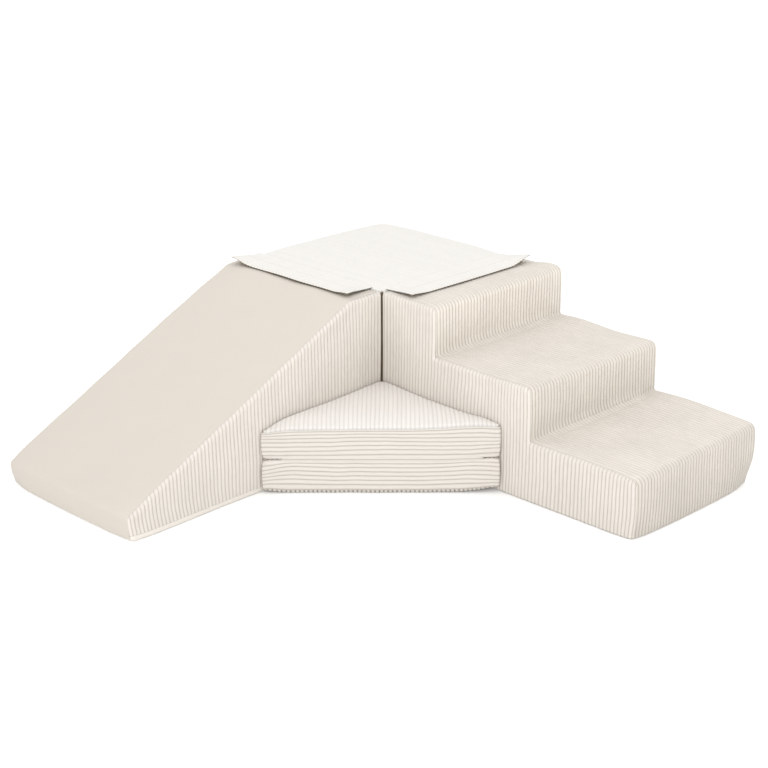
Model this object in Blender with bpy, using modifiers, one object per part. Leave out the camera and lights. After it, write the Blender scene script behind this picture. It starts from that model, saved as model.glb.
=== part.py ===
"""Corner climber made of soft foam modules: a square platform block, a slide wedge on one side of it,
three steps on the other side, and a two-layer triangular mat that folds out in the inner corner.
Each module is a foam core in a sewn cover of separate panels with a zip on its hidden side."""

import math

import bpy
import bmesh
from mathutils import Vector

# sizes in metres
SIDE = 0.450  # width of every module
MODULE_TOP = 0.396  # top of the slide and of the upper step
BLOCK_TOP = 0.402  # top of the platform block
REACH = 0.760  # how far the slide and the steps stand out from the block
MODULE_GAP = 0.003  # between the block and each module beside it
CENTRE = 0.155  # from the inner corner to the middle of the whole footprint

PANEL = 0.0020  # thickness of a cover panel
TOUCH = 0.0003  # gap between pieces that touch
SKIN = PANEL + TOUCH

SLIDE_FLAT = 0.095  # flat part of the slide's top
NOSE_HEIGHT = 0.055  # front end of the slide
TURN_UP = 0.012  # base fabric turned up along the slide's sides

STEP_1, STEP_2 = 0.144, 0.273  # heights of the lower and the middle step
TREAD_3, TREAD_2 = 0.175, 0.470  # front of the upper and the middle step, from the block
NOSING = 0.018
INNER_CORNER = 0.010

FLAP_WIDE, FLAP_THICK = 0.0895, 0.0030
FLAP_BOTTOM = 0.3991
STRIP_THICK = 0.0010
SLIDE_FLAP_AXIS_Z = 0.4025
STAIRS_FLAP_AXIS_Z = 0.4050

MAT_OFFSET = 0.004  # from the module sides to the mat's legs
MAT_LEG = 0.396  # from the inner corner to the ends of the fold axis
WELT_HALF = 0.232  # half the length of the fabric fold
MAT_FOLD_Z = 0.0840
MAT_HALF_GAP = 0.0010
MAT_FACE_BACK = 0.0040  # how far the front faces stand behind the fold axis

ZIP_SLOT = 0.024
ZIP_DEEP = 0.0048
ZIP_BLOCK, ZIP_SLIDE, ZIP_STAIRS, ZIP_MAT = 0.36, 0.50, 0.56, 0.24
SLIDER_LONG = 0.012

IVORY = (0.86, 0.82, 0.76)
CREAM = (0.80, 0.74, 0.65)
BEIGE = (0.76, 0.68, 0.58)
FOAM = (0.83, 0.80, 0.68)
TAPE = (0.78, 0.73, 0.65)

for old in list(bpy.data.objects):
    bpy.data.objects.remove(old, do_unlink=True)

scene = bpy.context.scene
climber = bpy.data.collections.new("foam_climber")
cutters = bpy.data.collections.new("cutters")
scene.collection.children.link(climber)
scene.collection.children.link(cutters)


def material(name, colour, roughness, metallic=0.0):
    made = bpy.data.materials.new(name)
    made.use_nodes = True
    shader = made.node_tree.nodes["Principled BSDF"]
    shader.inputs["Base Color"].default_value = (*colour, 1.0)
    shader.inputs["Roughness"].default_value = roughness
    shader.inputs["Metallic"].default_value = metallic
    return made


def empty(name, location, parent=None, rotation=(0, 0, 0)):
    made = bpy.data.objects.new(name, None)
    climber.objects.link(made)
    made.location = location
    made.rotation_euler = rotation
    made.parent = parent
    return made


def unit(v):
    return v / v.length


def fillet(corners, radii, closed=True, steps=6):
    """Points along an outline whose corners are rounded."""
    points = []
    count = len(corners)
    for i, (corner, radius) in enumerate(zip(corners, radii)):
        p = Vector(corner)
        if radius <= 0 or (not closed and i in (0, count - 1)):
            points.append(p)
            continue
        a = unit(Vector(corners[i - 1]) - p)
        b = unit(Vector(corners[(i + 1) % count]) - p)
        half = math.acos(max(-1.0, min(1.0, a.dot(b)))) / 2
        centre = p + unit(a + b) * (radius / math.sin(half))
        first = p + a * (radius / math.tan(half)) - centre
        last = p + b * (radius / math.tan(half)) - centre
        turn = math.atan2(first.x * last.y - first.y * last.x, first.dot(last))
        for k in range(steps + 1):
            t = turn * k / steps
            c, s = math.cos(t), math.sin(t)
            points.append(centre + Vector((first.x * c - first.y * s, first.x * s + first.y * c)))
    return points


def inset(corners, radii, depth, closed=True):
    """Corners and radii of the outline that runs a constant depth inside an anticlockwise one."""
    count = len(corners)
    pts = [Vector(c) for c in corners]

    def left(i):
        d = unit(pts[(i + 1) % count] - pts[i])
        return Vector((-d.y, d.x)), d

    new_corners, new_radii = [], []
    for i in range(count):
        if not closed and i == 0:
            n, _ = left(0)
            new_corners.append(pts[0] + n * depth)
            new_radii.append(0)
            continue
        if not closed and i == count - 1:
            n, _ = left(count - 2)
            new_corners.append(pts[-1] + n * depth)
            new_radii.append(0)
            continue
        n0, d0 = left(i - 1 if i else count - 1)
        n1, d1 = left(i)
        a, b = pts[i] + n0 * depth, pts[i] + n1 * depth
        cross = d0.x * d1.y - d0.y * d1.x
        t = ((b - a).x * d1.y - (b - a).y * d1.x) / cross
        new_corners.append(a + d0 * t)
        new_radii.append(0 if radii[i] <= 0 else max(0.0, radii[i] - depth if cross > 0 else radii[i] + depth))
    return new_corners, new_radii


def band(corners, radii, thick=PANEL):
    """Outline of a strip of fabric that lies along an open path."""
    outer = fillet(corners, radii, closed=False)
    inner = fillet(*inset(corners, radii, thick, closed=False), closed=False)
    return outer + inner[::-1]


def outline_mesh(name, loops, depth):
    """Flat outline with optional holes, extruded to a depth about its own plane."""
    curve = bpy.data.curves.new(name + "_outline", "CURVE")
    curve.dimensions = "2D"
    curve.fill_mode = "BOTH"
    curve.extrude = depth / 2
    curve.resolution_u = 1
    for loop in loops:
        spline = curve.splines.new("POLY")
        spline.points.add(len(loop) - 1)
        for point, p in zip(spline.points, loop):
            point.co = (p[0], p[1], 0, 1)
        spline.use_cyclic_u = True
    holder = bpy.data.objects.new(name + "_outline", curve)
    climber.objects.link(holder)
    bpy.context.view_layer.update()
    mesh = bpy.data.meshes.new_from_object(holder.evaluated_get(bpy.context.evaluated_depsgraph_get()))
    bpy.data.objects.remove(holder, do_unlink=True)
    bpy.data.curves.remove(curve)
    bm = bmesh.new()
    bm.from_mesh(mesh)
    bmesh.ops.remove_doubles(bm, verts=bm.verts, dist=0.00002)
    bmesh.ops.recalc_face_normals(bm, faces=bm.faces)
    bm.to_mesh(mesh)
    bm.free()
    mesh.name = name
    return mesh


def place(name, mesh, look, parent, location=(0, 0, 0), rotation=(0, 0, 0)):
    made = bpy.data.objects.new(name, mesh)
    climber.objects.link(made)
    made.parent = parent
    made.location = location
    made.rotation_euler = rotation
    colour, roughness = look[:2]
    mesh.materials.clear()
    mesh.materials.append(material(name, colour, roughness, look[2] if len(look) > 2 else 0.0))
    return made


def plan_solid(name, loops, low, high, look, parent, shift=(0, 0, 0)):
    """Outline in the ground plane, extruded upwards from low to high."""
    mesh = outline_mesh(name, loops, high - low)
    return place(name, mesh, look, parent, (-shift[0], -shift[1], (low + high) / 2 - shift[2]))


def profile_solid(name, loops, low, high, look, parent):
    """Outline in the XZ plane, extruded along Y from low to high."""
    mesh = outline_mesh(name, loops, high - low)
    return place(name, mesh, look, parent, (0, (low + high) / 2, 0), (math.pi / 2, 0, 0))


def end_solid(name, loops, low, high, look, parent):
    """Outline in the YZ plane, extruded along X from low to high."""
    mesh = outline_mesh(name, loops, high - low)
    return place(name, mesh, look, parent, ((low + high) / 2, 0, 0), (math.pi / 2, 0, math.pi / 2))


def box_mesh(name, size):
    mesh = bpy.data.meshes.new(name)
    bm = bmesh.new()
    bmesh.ops.create_cube(bm, size=1.0)
    bmesh.ops.scale(bm, vec=size, verts=bm.verts)
    bm.to_mesh(mesh)
    bm.free()
    return mesh


def box(name, low, high, look, parent, round_edges=0.0, segments=4):
    size = [b - a for a, b in zip(low, high)]
    made = place(name, box_mesh(name, size), look, parent, [(a + b) / 2 for a, b in zip(low, high)])
    if round_edges:
        bevel = made.modifiers.new("edges", "BEVEL")
        bevel.width = round_edges
        bevel.segments = segments
        bevel.limit_method = "ANGLE"
    return made


def rectangle(x0, y0, x1, y1):
    return [(x0, y0), (x1, y0), (x1, y1), (x0, y1)]


def cut(target, cutter):
    boolean = target.modifiers.new("zip opening", "BOOLEAN")
    boolean.operation = "DIFFERENCE"
    boolean.solver = "EXACT"
    boolean.object = cutter


def zip_set(prefix, length, where, rotation, parent, openings):
    """A zip let into a cover: its opening, the tape with its coil, and the slider at one end.
    The frame's X runs along the zip and its Z points out of the cover."""
    frame = empty(prefix + "_zip_frame", where, parent, rotation)
    cutter = bpy.data.objects.new(prefix + "_zip_cutter", box_mesh(prefix + "_zip_cutter", (length, ZIP_SLOT, 2 * ZIP_DEEP)))
    cutters.objects.link(cutter)
    cutter.parent = frame
    cutter.hide_render = True
    cutter.display_type = "WIRE"
    for target in openings:
        cut(target, cutter)
    tape_low, tape_high, coil = -ZIP_DEEP + TOUCH, -ZIP_DEEP + TOUCH + 0.0010, -ZIP_DEEP + TOUCH + 0.0022
    wide = ZIP_SLOT / 2 - 0.001
    chain = [(-wide, tape_low), (wide, tape_low), (wide, tape_high), (0.0025, tape_high),
             (0.0025, coil), (-0.0025, coil), (-0.0025, tape_high), (-wide, tape_high)]
    end_solid(prefix + "_zip_chain", [chain], -length / 2 + 0.001, length / 2 - 0.001, (TAPE, 0.8), frame)
    foot, roof, top = tape_high + TOUCH, coil + TOUCH, coil + TOUCH + 0.0008
    body = [(-0.0050, foot), (-0.0030, foot), (-0.0030, roof), (0.0030, roof), (0.0030, foot), (0.0050, foot),
            (0.0050, top - 0.0005), (0.0042, top), (-0.0042, top), (-0.0050, top - 0.0005)]
    slider = outline_mesh(prefix + "_zip_slider", [body], SLIDER_LONG)
    place(prefix + "_zip_slider", slider, ((0.62, 0.60, 0.56), 0.35, 0.9), frame,
          (-length / 2 + 0.010, 0, 0), (math.pi / 2, 0, math.pi / 2))


origin = empty("climber_origin", (CENTRE, CENTRE, 0))

# platform block
block = empty("block_origin", (0, 0, 0), origin)
square, square_r = rectangle(0, 0, SIDE, SIDE), [0.022] * 4
rounded_square = fillet(square, square_r)
plan_solid("block_base_panel", [rounded_square], 0, PANEL, (CREAM, 0.9), block)
plan_solid("block_top_panel", [rounded_square], BLOCK_TOP - PANEL, BLOCK_TOP, (IVORY, 0.9), block)
block_band = plan_solid("block_side_band", [rounded_square, fillet(*inset(square, square_r, PANEL))],
                        SKIN, BLOCK_TOP - SKIN, (IVORY, 0.9), block)
block_core = plan_solid("block_foam_core", [fillet(*inset(square, square_r, SKIN))],
                        SKIN, BLOCK_TOP - SKIN, (FOAM, 0.95), block)
zip_set("block", ZIP_BLOCK, (SIDE, SIDE / 2, 0.045), (math.pi / 2, 0, math.pi / 2), block, [block_band, block_core])

# fastening flaps, each on a hinge line along the block's top edge
slide_flap = empty("flap_slide_hinge", (-0.0005, SIDE / 2, SLIDE_FLAP_AXIS_Z), origin)
near, far = 0.030 - SIDE / 2, 0.437 - SIDE / 2
flap = fillet([(-0.0007, near + 0.008), (-0.0007, far), (-0.0007 - FLAP_WIDE, far), (-0.0007 - FLAP_WIDE, near)],
              [0, 0, 0.010, 0.010])
plan_solid("flap_slide_panel", [flap], FLAP_BOTTOM, FLAP_BOTTOM + FLAP_THICK, (IVORY, 0.9), slide_flap,
           (0, 0, SLIDE_FLAP_AXIS_Z))
plan_solid("flap_slide_hook_strip", [rectangle(-0.078, near + 0.014, -0.028, far - 0.012)],
           FLAP_BOTTOM - TOUCH - STRIP_THICK, FLAP_BOTTOM - TOUCH, (TAPE, 0.7), slide_flap, (0, 0, SLIDE_FLAP_AXIS_Z))

stairs_flap = empty("flap_stairs_hinge", (SIDE / 2, -0.0005, STAIRS_FLAP_AXIS_Z), origin)
near, far = 0.013 - SIDE / 2, 0.437 - SIDE / 2
flap = fillet([(near + 0.008, -0.0007), (near, -0.0007 - FLAP_WIDE), (far, -0.0007 - FLAP_WIDE), (far, -0.0007)],
              [0, 0.010, 0.010, 0])
plan_solid("flap_stairs_panel", [flap], FLAP_BOTTOM, FLAP_BOTTOM + FLAP_THICK, (IVORY, 0.9), stairs_flap,
           (0, 0, STAIRS_FLAP_AXIS_Z))
plan_solid("flap_stairs_hook_strip", [rectangle(near + 0.014, -0.078, far - 0.012, -0.028)],
           FLAP_BOTTOM - TOUCH - STRIP_THICK, FLAP_BOTTOM - TOUCH, (TAPE, 0.7), stairs_flap, (0, 0, STAIRS_FLAP_AXIS_Z))

# slide wedge, in a frame whose X points back to the block
slide = empty("slide_module_origin", (0, 0, 0), origin)
back = -MODULE_GAP
wedge = [(back, 0), (back, MODULE_TOP), (-SLIDE_FLAT, MODULE_TOP), (-REACH, NOSE_HEIGHT), (-REACH, 0)]
wedge_r = [0.002, 0.006, 0.030, 0.028, 0.006]
slide_core = profile_solid("slide_foam_core", [fillet(*inset(wedge, wedge_r, SKIN))], SKIN, SIDE - SKIN, (FOAM, 0.95), slide)
ramp = band([(back - SKIN, MODULE_TOP), (-SLIDE_FLAT, MODULE_TOP), (-REACH, NOSE_HEIGHT), (-REACH, SKIN)], [0, 0.030, 0.028, 0])
profile_solid("slide_ramp_panel", [ramp], SKIN, SIDE - SKIN, (BEIGE, 0.45), slide)
low = TURN_UP + TOUCH
cheek = fillet([(back, low), (back, MODULE_TOP), (-SLIDE_FLAT, MODULE_TOP), (-REACH, NOSE_HEIGHT), (-REACH, low)],
               [0, 0.006, 0.030, 0.028, 0])
profile_solid("slide_side_panel_near", [cheek], 0, PANEL, (CREAM, 0.9), slide)
cheek_far = profile_solid("slide_side_panel_far", [cheek], SIDE - PANEL, SIDE, (CREAM, 0.9), slide)
end_solid("slide_back_panel", [rectangle(SKIN, SKIN, SIDE - SKIN, MODULE_TOP - 0.004)], back - PANEL, back, (CREAM, 0.9), slide)
tray = [(0, 0), (SIDE, 0), (SIDE, TURN_UP), (SIDE - PANEL, TURN_UP), (SIDE - PANEL, PANEL), (PANEL, PANEL),
        (PANEL, TURN_UP), (0, TURN_UP)]
end_solid("slide_base_panel", [tray], -REACH, back, (CREAM, 0.85), slide)
box("slide_loop_strip", (-0.080, 0.040, MODULE_TOP + TOUCH), (-0.026, 0.430, MODULE_TOP + TOUCH + STRIP_THICK), (TAPE, 0.8), slide)
zip_set("slide", ZIP_SLIDE, (-0.36, SIDE, 0.045), (math.pi / 2, 0, math.pi), slide, [cheek_far, slide_core])

# steps, in a frame turned a quarter so that its X points back to the block too
stairs = empty("stairs_module_origin", (SIDE, 0, 0), origin, (0, 0, math.pi / 2))
steps = [(back, 0), (back, MODULE_TOP), (-TREAD_3, MODULE_TOP), (-TREAD_3, STEP_2), (-TREAD_2, STEP_2),
         (-TREAD_2, STEP_1), (-REACH, STEP_1), (-REACH, 0)]
steps_r = [0, 0.006, NOSING, INNER_CORNER, NOSING, INNER_CORNER, NOSING, 0.006]
floor_steps = [(x, max(z, SKIN)) for x, z in steps]
outline = fillet(floor_steps, [0, 0.006] + steps_r[2:7] + [0])
far_cheek = profile_solid("stairs_side_panel_far", [outline], 0, PANEL, (CREAM, 0.9), stairs)
profile_solid("stairs_side_panel_near", [outline], SIDE - PANEL, SIDE, (CREAM, 0.9), stairs)
path = [(back - SKIN, MODULE_TOP)] + steps[2:7] + [(-REACH, SKIN)]
profile_solid("stairs_tread_band", [band(path, [0] + steps_r[2:7] + [0])], SKIN, SIDE - SKIN, (CREAM, 0.9), stairs)
end_solid("stairs_back_panel", [rectangle(SKIN, SKIN, SIDE - SKIN, MODULE_TOP - 0.004)], back - PANEL, back, (CREAM, 0.9), stairs)
plan_solid("stairs_base_panel", [rectangle(-REACH, 0, back, SIDE)], 0, PANEL, (CREAM, 0.85), stairs)
tops = [STEP_1 - SKIN, STEP_2 - SKIN, MODULE_TOP - SKIN]
floors = [SKIN, tops[0] + TOUCH, tops[1] + TOUCH]
fronts = [REACH, TREAD_2, TREAD_3]
slabs = []
for name, low, high, front in zip(("bottom", "middle", "top"), floors, tops, fronts):
    slab = fillet([(back - SKIN, low), (back - SKIN, high), (-front + SKIN, high), (-front + SKIN, low)],
                  [0, 0.0037 if name == "top" else 0, NOSING - SKIN, 0])
    slabs.append(profile_solid("stairs_foam_" + name, [slab], SKIN, SIDE - SKIN, (FOAM, 0.95), stairs))
box("stairs_loop_strip", (-0.080, 0.020, MODULE_TOP + TOUCH), (-0.026, 0.430, MODULE_TOP + TOUCH + STRIP_THICK), (TAPE, 0.8), stairs)
zip_set("stairs", ZIP_STAIRS, (-0.38, 0, 0.045), (math.pi / 2, 0, 0), stairs, [far_cheek, slabs[0]])

# folding mat: two triangles whose long sides meet on the fold axis
mat = empty("mat_origin", (0, 0, 0), origin)
middle = -(MAT_LEG + MAT_OFFSET) / 2
fold = empty("mat_fold_hinge", (middle, middle, MAT_FOLD_Z), mat)
back_off = MAT_FACE_BACK * math.sqrt(2)
triangle = [(-MAT_OFFSET, -MAT_OFFSET), (-MAT_LEG + back_off, -MAT_OFFSET), (-MAT_OFFSET, -MAT_LEG + back_off)]
triangle_r = [0.016, 0.005, 0.005]
plan = fillet(triangle, triangle_r, steps=8)
plan_in = fillet(*inset(triangle, triangle_r, PANEL), steps=8)
plan_core = fillet(*inset(triangle, triangle_r, SKIN), steps=8)
for layer, low, high, parent, shift in (
    ("lower", 0, MAT_FOLD_Z - MAT_HALF_GAP, mat, (0, 0, 0)),
    ("upper", MAT_FOLD_Z + MAT_HALF_GAP, 2 * MAT_FOLD_Z, fold, (middle, middle, MAT_FOLD_Z)),
):
    names = {"lower": ("base_panel", "top_panel"), "upper": ("inner_panel", "top_panel")}[layer]
    plan_solid(f"mat_{layer}_{names[0]}", [plan], low, low + PANEL, (IVORY, 0.9), parent, shift)
    plan_solid(f"mat_{layer}_{names[1]}", [plan], high - PANEL, high, (IVORY, 0.9), parent, shift)
    border = plan_solid(f"mat_{layer}_border", [plan, plan_in], low + SKIN, high - SKIN, (IVORY, 0.9), parent, shift)
    core = plan_solid(f"mat_{layer}_foam", [plan_core], low + SKIN, high - SKIN, (FOAM, 0.95), parent, shift)
    height = (low + high) / 2
    if layer == "lower":
        zip_set("mat_lower", ZIP_MAT, (-0.190, -MAT_OFFSET, height), (math.pi / 2, 0, math.pi), mat, [border, core])
    else:
        where = (-MAT_OFFSET - shift[0], -0.190 - shift[1], height - shift[2])
        zip_set("mat_upper", ZIP_MAT, where, (math.pi / 2, 0, math.pi / 2), fold, [border, core])

# welt on the fold: a thin web between the layers with a round bead on the fold axis
bead = [(0.0012 * math.cos(a), 0.0012 * math.sin(a)) for a in
        (math.radians(d) for d in range(-161, 162, 23))]
turned = [(-x, z) for x, z in bead[::-1]]
welt = outline_mesh("mat_hinge_welt", [[(0.0110, -0.0004), (0.0110, 0.0004)] + turned], 2 * WELT_HALF)
place("mat_hinge_welt", welt, (IVORY, 0.9), mat, (middle, middle, MAT_FOLD_Z), (math.pi / 2, 0, math.radians(45)))
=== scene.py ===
"""Looks of the foam climber: sewn corduroy and leatherette covers over soft foam forms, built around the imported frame."""

import math

import bpy
import bmesh
import numpy as np
from mathutils import Matrix, Vector
from mathutils.bvhtree import BVHTree


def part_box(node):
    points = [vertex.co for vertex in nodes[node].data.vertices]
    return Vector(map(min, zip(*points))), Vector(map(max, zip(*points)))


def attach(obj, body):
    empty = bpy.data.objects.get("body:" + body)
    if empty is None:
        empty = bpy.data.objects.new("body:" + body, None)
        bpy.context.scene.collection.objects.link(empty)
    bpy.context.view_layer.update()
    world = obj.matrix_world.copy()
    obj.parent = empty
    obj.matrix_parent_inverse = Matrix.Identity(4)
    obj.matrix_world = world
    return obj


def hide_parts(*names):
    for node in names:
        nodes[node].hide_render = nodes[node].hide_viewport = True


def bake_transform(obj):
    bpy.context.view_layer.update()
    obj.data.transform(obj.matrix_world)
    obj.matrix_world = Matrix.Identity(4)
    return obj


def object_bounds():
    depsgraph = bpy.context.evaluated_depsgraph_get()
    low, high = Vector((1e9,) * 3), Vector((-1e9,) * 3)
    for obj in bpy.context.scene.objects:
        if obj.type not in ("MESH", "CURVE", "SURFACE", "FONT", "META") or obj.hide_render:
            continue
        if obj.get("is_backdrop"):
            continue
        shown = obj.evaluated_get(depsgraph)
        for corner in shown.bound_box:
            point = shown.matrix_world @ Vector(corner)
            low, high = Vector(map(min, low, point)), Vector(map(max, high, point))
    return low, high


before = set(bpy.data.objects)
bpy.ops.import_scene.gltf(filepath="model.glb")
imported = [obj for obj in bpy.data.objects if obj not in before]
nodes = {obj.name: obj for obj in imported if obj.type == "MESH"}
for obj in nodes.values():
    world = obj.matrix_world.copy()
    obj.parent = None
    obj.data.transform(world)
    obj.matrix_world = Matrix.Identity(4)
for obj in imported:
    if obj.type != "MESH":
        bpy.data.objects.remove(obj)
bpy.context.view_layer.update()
scene = bpy.context.scene

C = 0.155          # fit frame to row frame
SIDE = 0.450
GAP = 0.003
PITCH = 0.0102     # one wale
WALE = 0.0016      # height of a wale
CLOTH = 0.0010     # cloth under the wales
FOAM_IN = 0.0055   # foam surface, below the cover's crest
FINE = (0.0, 0.05, 0.14, 0.30, 0.5, 0.70, 0.86, 0.95)
COARSE = (0.0, 0.07, 0.25, 0.5, 0.75, 0.93)


# ---------------------------------------------------------------- small maths

def unit(v):
    v = np.asarray(v, float)
    return v / np.linalg.norm(v)


def step(x, a, b):
    t = np.clip((x - a) / (b - a), 0, 1)
    return t * t * (3 - 2 * t)


def wale(q):
    p = q - np.floor(q)
    return np.sqrt(np.clip(1 - np.abs(2 * p - 1) ** 2.6, 0, 1))


def waves(seed, size, count=7):
    """A smooth random field over points, about -1 to 1, with bumps about size metres across."""
    rng = np.random.default_rng(seed)
    k = rng.normal(size=(count, 3)) * (2.2 / size)
    phase = rng.uniform(0, 2 * math.pi, count)

    def field(p):
        p = np.asarray(p, float)
        if p.shape[-1] == 2:
            p = np.concatenate([p, np.zeros(p.shape[:-1] + (1,))], -1)
        return np.sin(p @ k.T + phase).sum(-1) / math.sqrt(count * 1.4)
    return field


def bump_at(p, centre, sigma):
    """A round hill of height 1 at centre. sigma may differ along the three axes."""
    d = (p - np.asarray(centre, float)) / np.asarray(sigma, float)
    return np.exp(-0.5 * (d * d).sum(-1))


class Path:
    """A line of straight runs and round corners in a plane, with its outward normals.
    Outward is to the right of the way it runs."""

    def __init__(self, corners, radii, closed=False, turn=3.0):
        pts, nrm = [], []
        n = len(corners)
        corners = [np.asarray(c, float) for c in corners]
        for i, (p, r) in enumerate(zip(corners, radii)):
            if not closed and i in (0, n - 1):
                d = unit(corners[1] - corners[0]) if i == 0 else unit(corners[-1] - corners[-2])
                pts.append(p)
                nrm.append(math.atan2(-d[0], d[1]))
                continue
            a, b = unit(corners[i - 1] - p), unit(corners[(i + 1) % n] - p)
            half = math.acos(max(-1, min(1, float(a @ b)))) / 2
            t = r / math.tan(half)
            n0 = math.atan2(a[0], -a[1])      # right of direction -a
            n1 = math.atan2(-b[0], b[1])
            swing = (n1 - n0 + math.pi) % (2 * math.pi) - math.pi
            sign = 1.0 if swing > 0 else -1.0
            start = p + a * t
            centre = start - sign * r * np.array([math.cos(n0), math.sin(n0)])
            k = max(2, int(math.ceil(math.degrees(abs(swing)) / turn)))
            for j in range(k + 1):
                ang = n0 + swing * j / k
                pts.append(centre + sign * r * np.array([math.cos(ang), math.sin(ang)]))
                nrm.append(ang)
        if closed:
            pts.append(pts[0])
            nrm.append(nrm[0])
        self.p = np.array(pts)
        ang = np.unwrap(np.array(nrm))
        self.angle = ang
        seg = np.linalg.norm(np.diff(self.p, axis=0), axis=1)
        self.s = np.concatenate([[0], np.cumsum(seg)])
        self.length = float(self.s[-1])
        self.closed = closed

    def at(self, s):
        s = np.asarray(s, float)
        base = np.floor(s / self.length) if self.closed else 0.0
        t = s - base * self.length if self.closed else s
        x = np.interp(t, self.s, self.p[:, 0])
        y = np.interp(t, self.s, self.p[:, 1])
        a = np.interp(t, self.s, self.angle)
        return np.stack([x, y], -1), np.stack([np.cos(a), np.sin(a)], -1)

    def stations(self, s0, s1, long, short=0.0026):
        """Places along the path: close together in the round corners and wider apart on the straight runs."""
        out = [s0]
        marks = self.s if not self.closed else np.concatenate([self.s - self.length, self.s, self.s + self.length])
        bend = np.abs(np.diff(self.angle))
        bend = bend if not self.closed else np.tile(np.concatenate([bend, [0, 0]]), 3)[:len(marks) - 1]
        marks_mid = [(marks[i], marks[i + 1], bend[i]) for i in range(len(marks) - 1) if marks[i + 1] > marks[i]]
        for a, b, turn in marks_mid:
            lo, hi = max(a, s0), min(b, s1)
            if hi - lo < 1e-9:
                continue
            k = max(1, int(math.ceil((hi - lo) / (short if turn > 1e-6 else long))))
            for j in range(1, k + 1):
                x = lo + (hi - lo) * j / k
                if x - out[-1] > 0.6 * short or x == s1:
                    out.append(x)
        return np.array(out)

    def s_of(self, point):
        a, b = self.p[:-1], self.p[1:]
        ab = b - a
        t = np.clip(((np.asarray(point) - a) * ab).sum(1) / np.maximum((ab * ab).sum(1), 1e-15), 0, 1)
        d = np.linalg.norm(a + ab * t[:, None] - point, axis=1)
        k = int(np.argmin(d))
        return float(self.s[k] + t[k] * (self.s[k + 1] - self.s[k]))


def inset(corners, radii, depth):
    """Corners and radii of the outline that runs a constant depth inside an anticlockwise one."""
    n = len(corners)
    pts = [np.asarray(c, float) for c in corners]
    out, rad = [], []
    for i in range(n):
        d0, d1 = unit(pts[i] - pts[i - 1]), unit(pts[(i + 1) % n] - pts[i])
        n0, n1 = np.array([-d0[1], d0[0]]), np.array([-d1[1], d1[0]])
        a, b = pts[i] + n0 * depth, pts[i] + n1 * depth
        cross = d0[0] * d1[1] - d0[1] * d1[0]
        t = ((b - a)[0] * d1[1] - (b - a)[1] * d1[0]) / cross
        out.append(a + d0 * t)
        rad.append(max(0.0004, radii[i] - depth) if cross > 0 else radii[i] + depth)
    return out, rad


def nearest(points, loop):
    """Distance outside a closed outline (0 inside), and the outward direction there."""
    a, b = loop, np.roll(loop, -1, 0)
    ab = b - a
    l2 = np.maximum((ab * ab).sum(1), 1e-15)
    dist = np.zeros(len(points))
    way = np.zeros((len(points), 2))
    for k in range(0, len(points), 6000):
        p = points[k:k + 6000]
        ap = p[:, None, :] - a[None]
        t = np.clip((ap * ab[None]).sum(2) / l2[None], 0, 1)
        diff = ap - t[..., None] * ab[None]
        d2 = (diff * diff).sum(2)
        i = np.argmin(d2, 1)
        rows = np.arange(len(p))
        d = np.sqrt(d2[rows, i])
        up = (a[None, :, 1] <= p[:, None, 1]) != (b[None, :, 1] <= p[:, None, 1])
        with np.errstate(divide="ignore", invalid="ignore"):
            cut = a[None, :, 0] + (p[:, None, 1] - a[None, :, 1]) * (ab[None, :, 0] / np.where(ab[None, :, 1] == 0, 1e-12, ab[None, :, 1]))
        inside = (up & (p[:, None, 0] < cut)).sum(1) % 2 == 1
        d = np.where(inside, 0.0, d)
        g = diff[rows, i] / np.maximum(d, 1e-9)[:, None]
        dist[k:k + 6000] = d
        way[k:k + 6000] = np.where(inside[:, None], 0.0, g)
    return dist, way


# ---------------------------------------------------------------- panels of cloth

class Panel:
    """A piece of cloth cut from a flat pattern and laid on a module: surface points, normals, pattern coordinates."""

    def __init__(self, name, P, N, quads, along, q, edge, ribbed=1.0, look="ivory", seam=0.0011, shade=None):
        self.name, self.P, self.N, self.quads = name, P, N, quads
        self.along, self.q, self.edge = along, q, edge
        self.ribbed, self.look, self.seam = ribbed, look, seam
        self.extra = np.zeros(len(P))
        self.height = WALE          # of the wales
        self.hem = 0.0030           # the wales flatten within this distance of the cut edge
        self.rise = 0.55            # share of their height at the edge
        self.flatter = 0.45         # how much lower they are where the cloth faces up
        self.paler = 0.55           # how much less the grooves' darker colour shows there; that colour is partly the cloth's own and partly painted shade, painted weaker where light from above falls
        # painted shade: 1 leaves the cloth's colour, 0 paints it deep brown where the shade of a gap falls
        self.shade = np.ones(len(P))
        self.edge_tone = 1.0        # how much of the grooves' colour is left at the hem
        self.edge_dark = np.full(len(P), 0.16)      # painted shade: how much darker the cloth is painted right at its seams, the shade in the seam's crease


def grid_quads(rows, cols):
    i = np.arange(rows - 1)[:, None] * cols + np.arange(cols - 1)[None]
    return np.stack([i, i + 1, i + 1 + cols, i + cols], -1).reshape(-1, 4)


def compact(quads, *arrays):
    used = np.unique(quads)
    index = np.full(quads.max() + 1, -1)
    index[used] = np.arange(len(used))
    return index[quads], [a[used] for a in arrays]


def columns(q0, q1, phases):
    """Rib phases between two places of the pattern, which are counted in wales."""
    out = [q0]
    for k in range(int(math.floor(q0)), int(math.ceil(q1))):
        for f in phases:
            if q0 + 0.02 < k + f < q1 - 0.02:
                out.append(k + f)
    out.append(q1)
    return np.array(out)


def in_slot(a, b, slot):
    """Distance inside a rectangular opening (negative outside) and the point moved to its rim."""
    (ca, cb), (ha, hb) = slot
    da, db = np.abs(a - ca) - ha, np.abs(b - cb) - hb
    inside = (da < -1e-6) & (db < -1e-6)
    to_a = da > db
    na = np.where(inside & to_a, ca + np.sign(a - ca + 1e-12) * ha, a)
    nb = np.where(inside & ~to_a, cb + np.sign(b - cb + 1e-12) * hb, b)
    out = np.sqrt(np.maximum(da, 0) ** 2 + np.maximum(db, 0) ** 2)
    return inside, na, nb, np.where(inside, 0, out)


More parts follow.
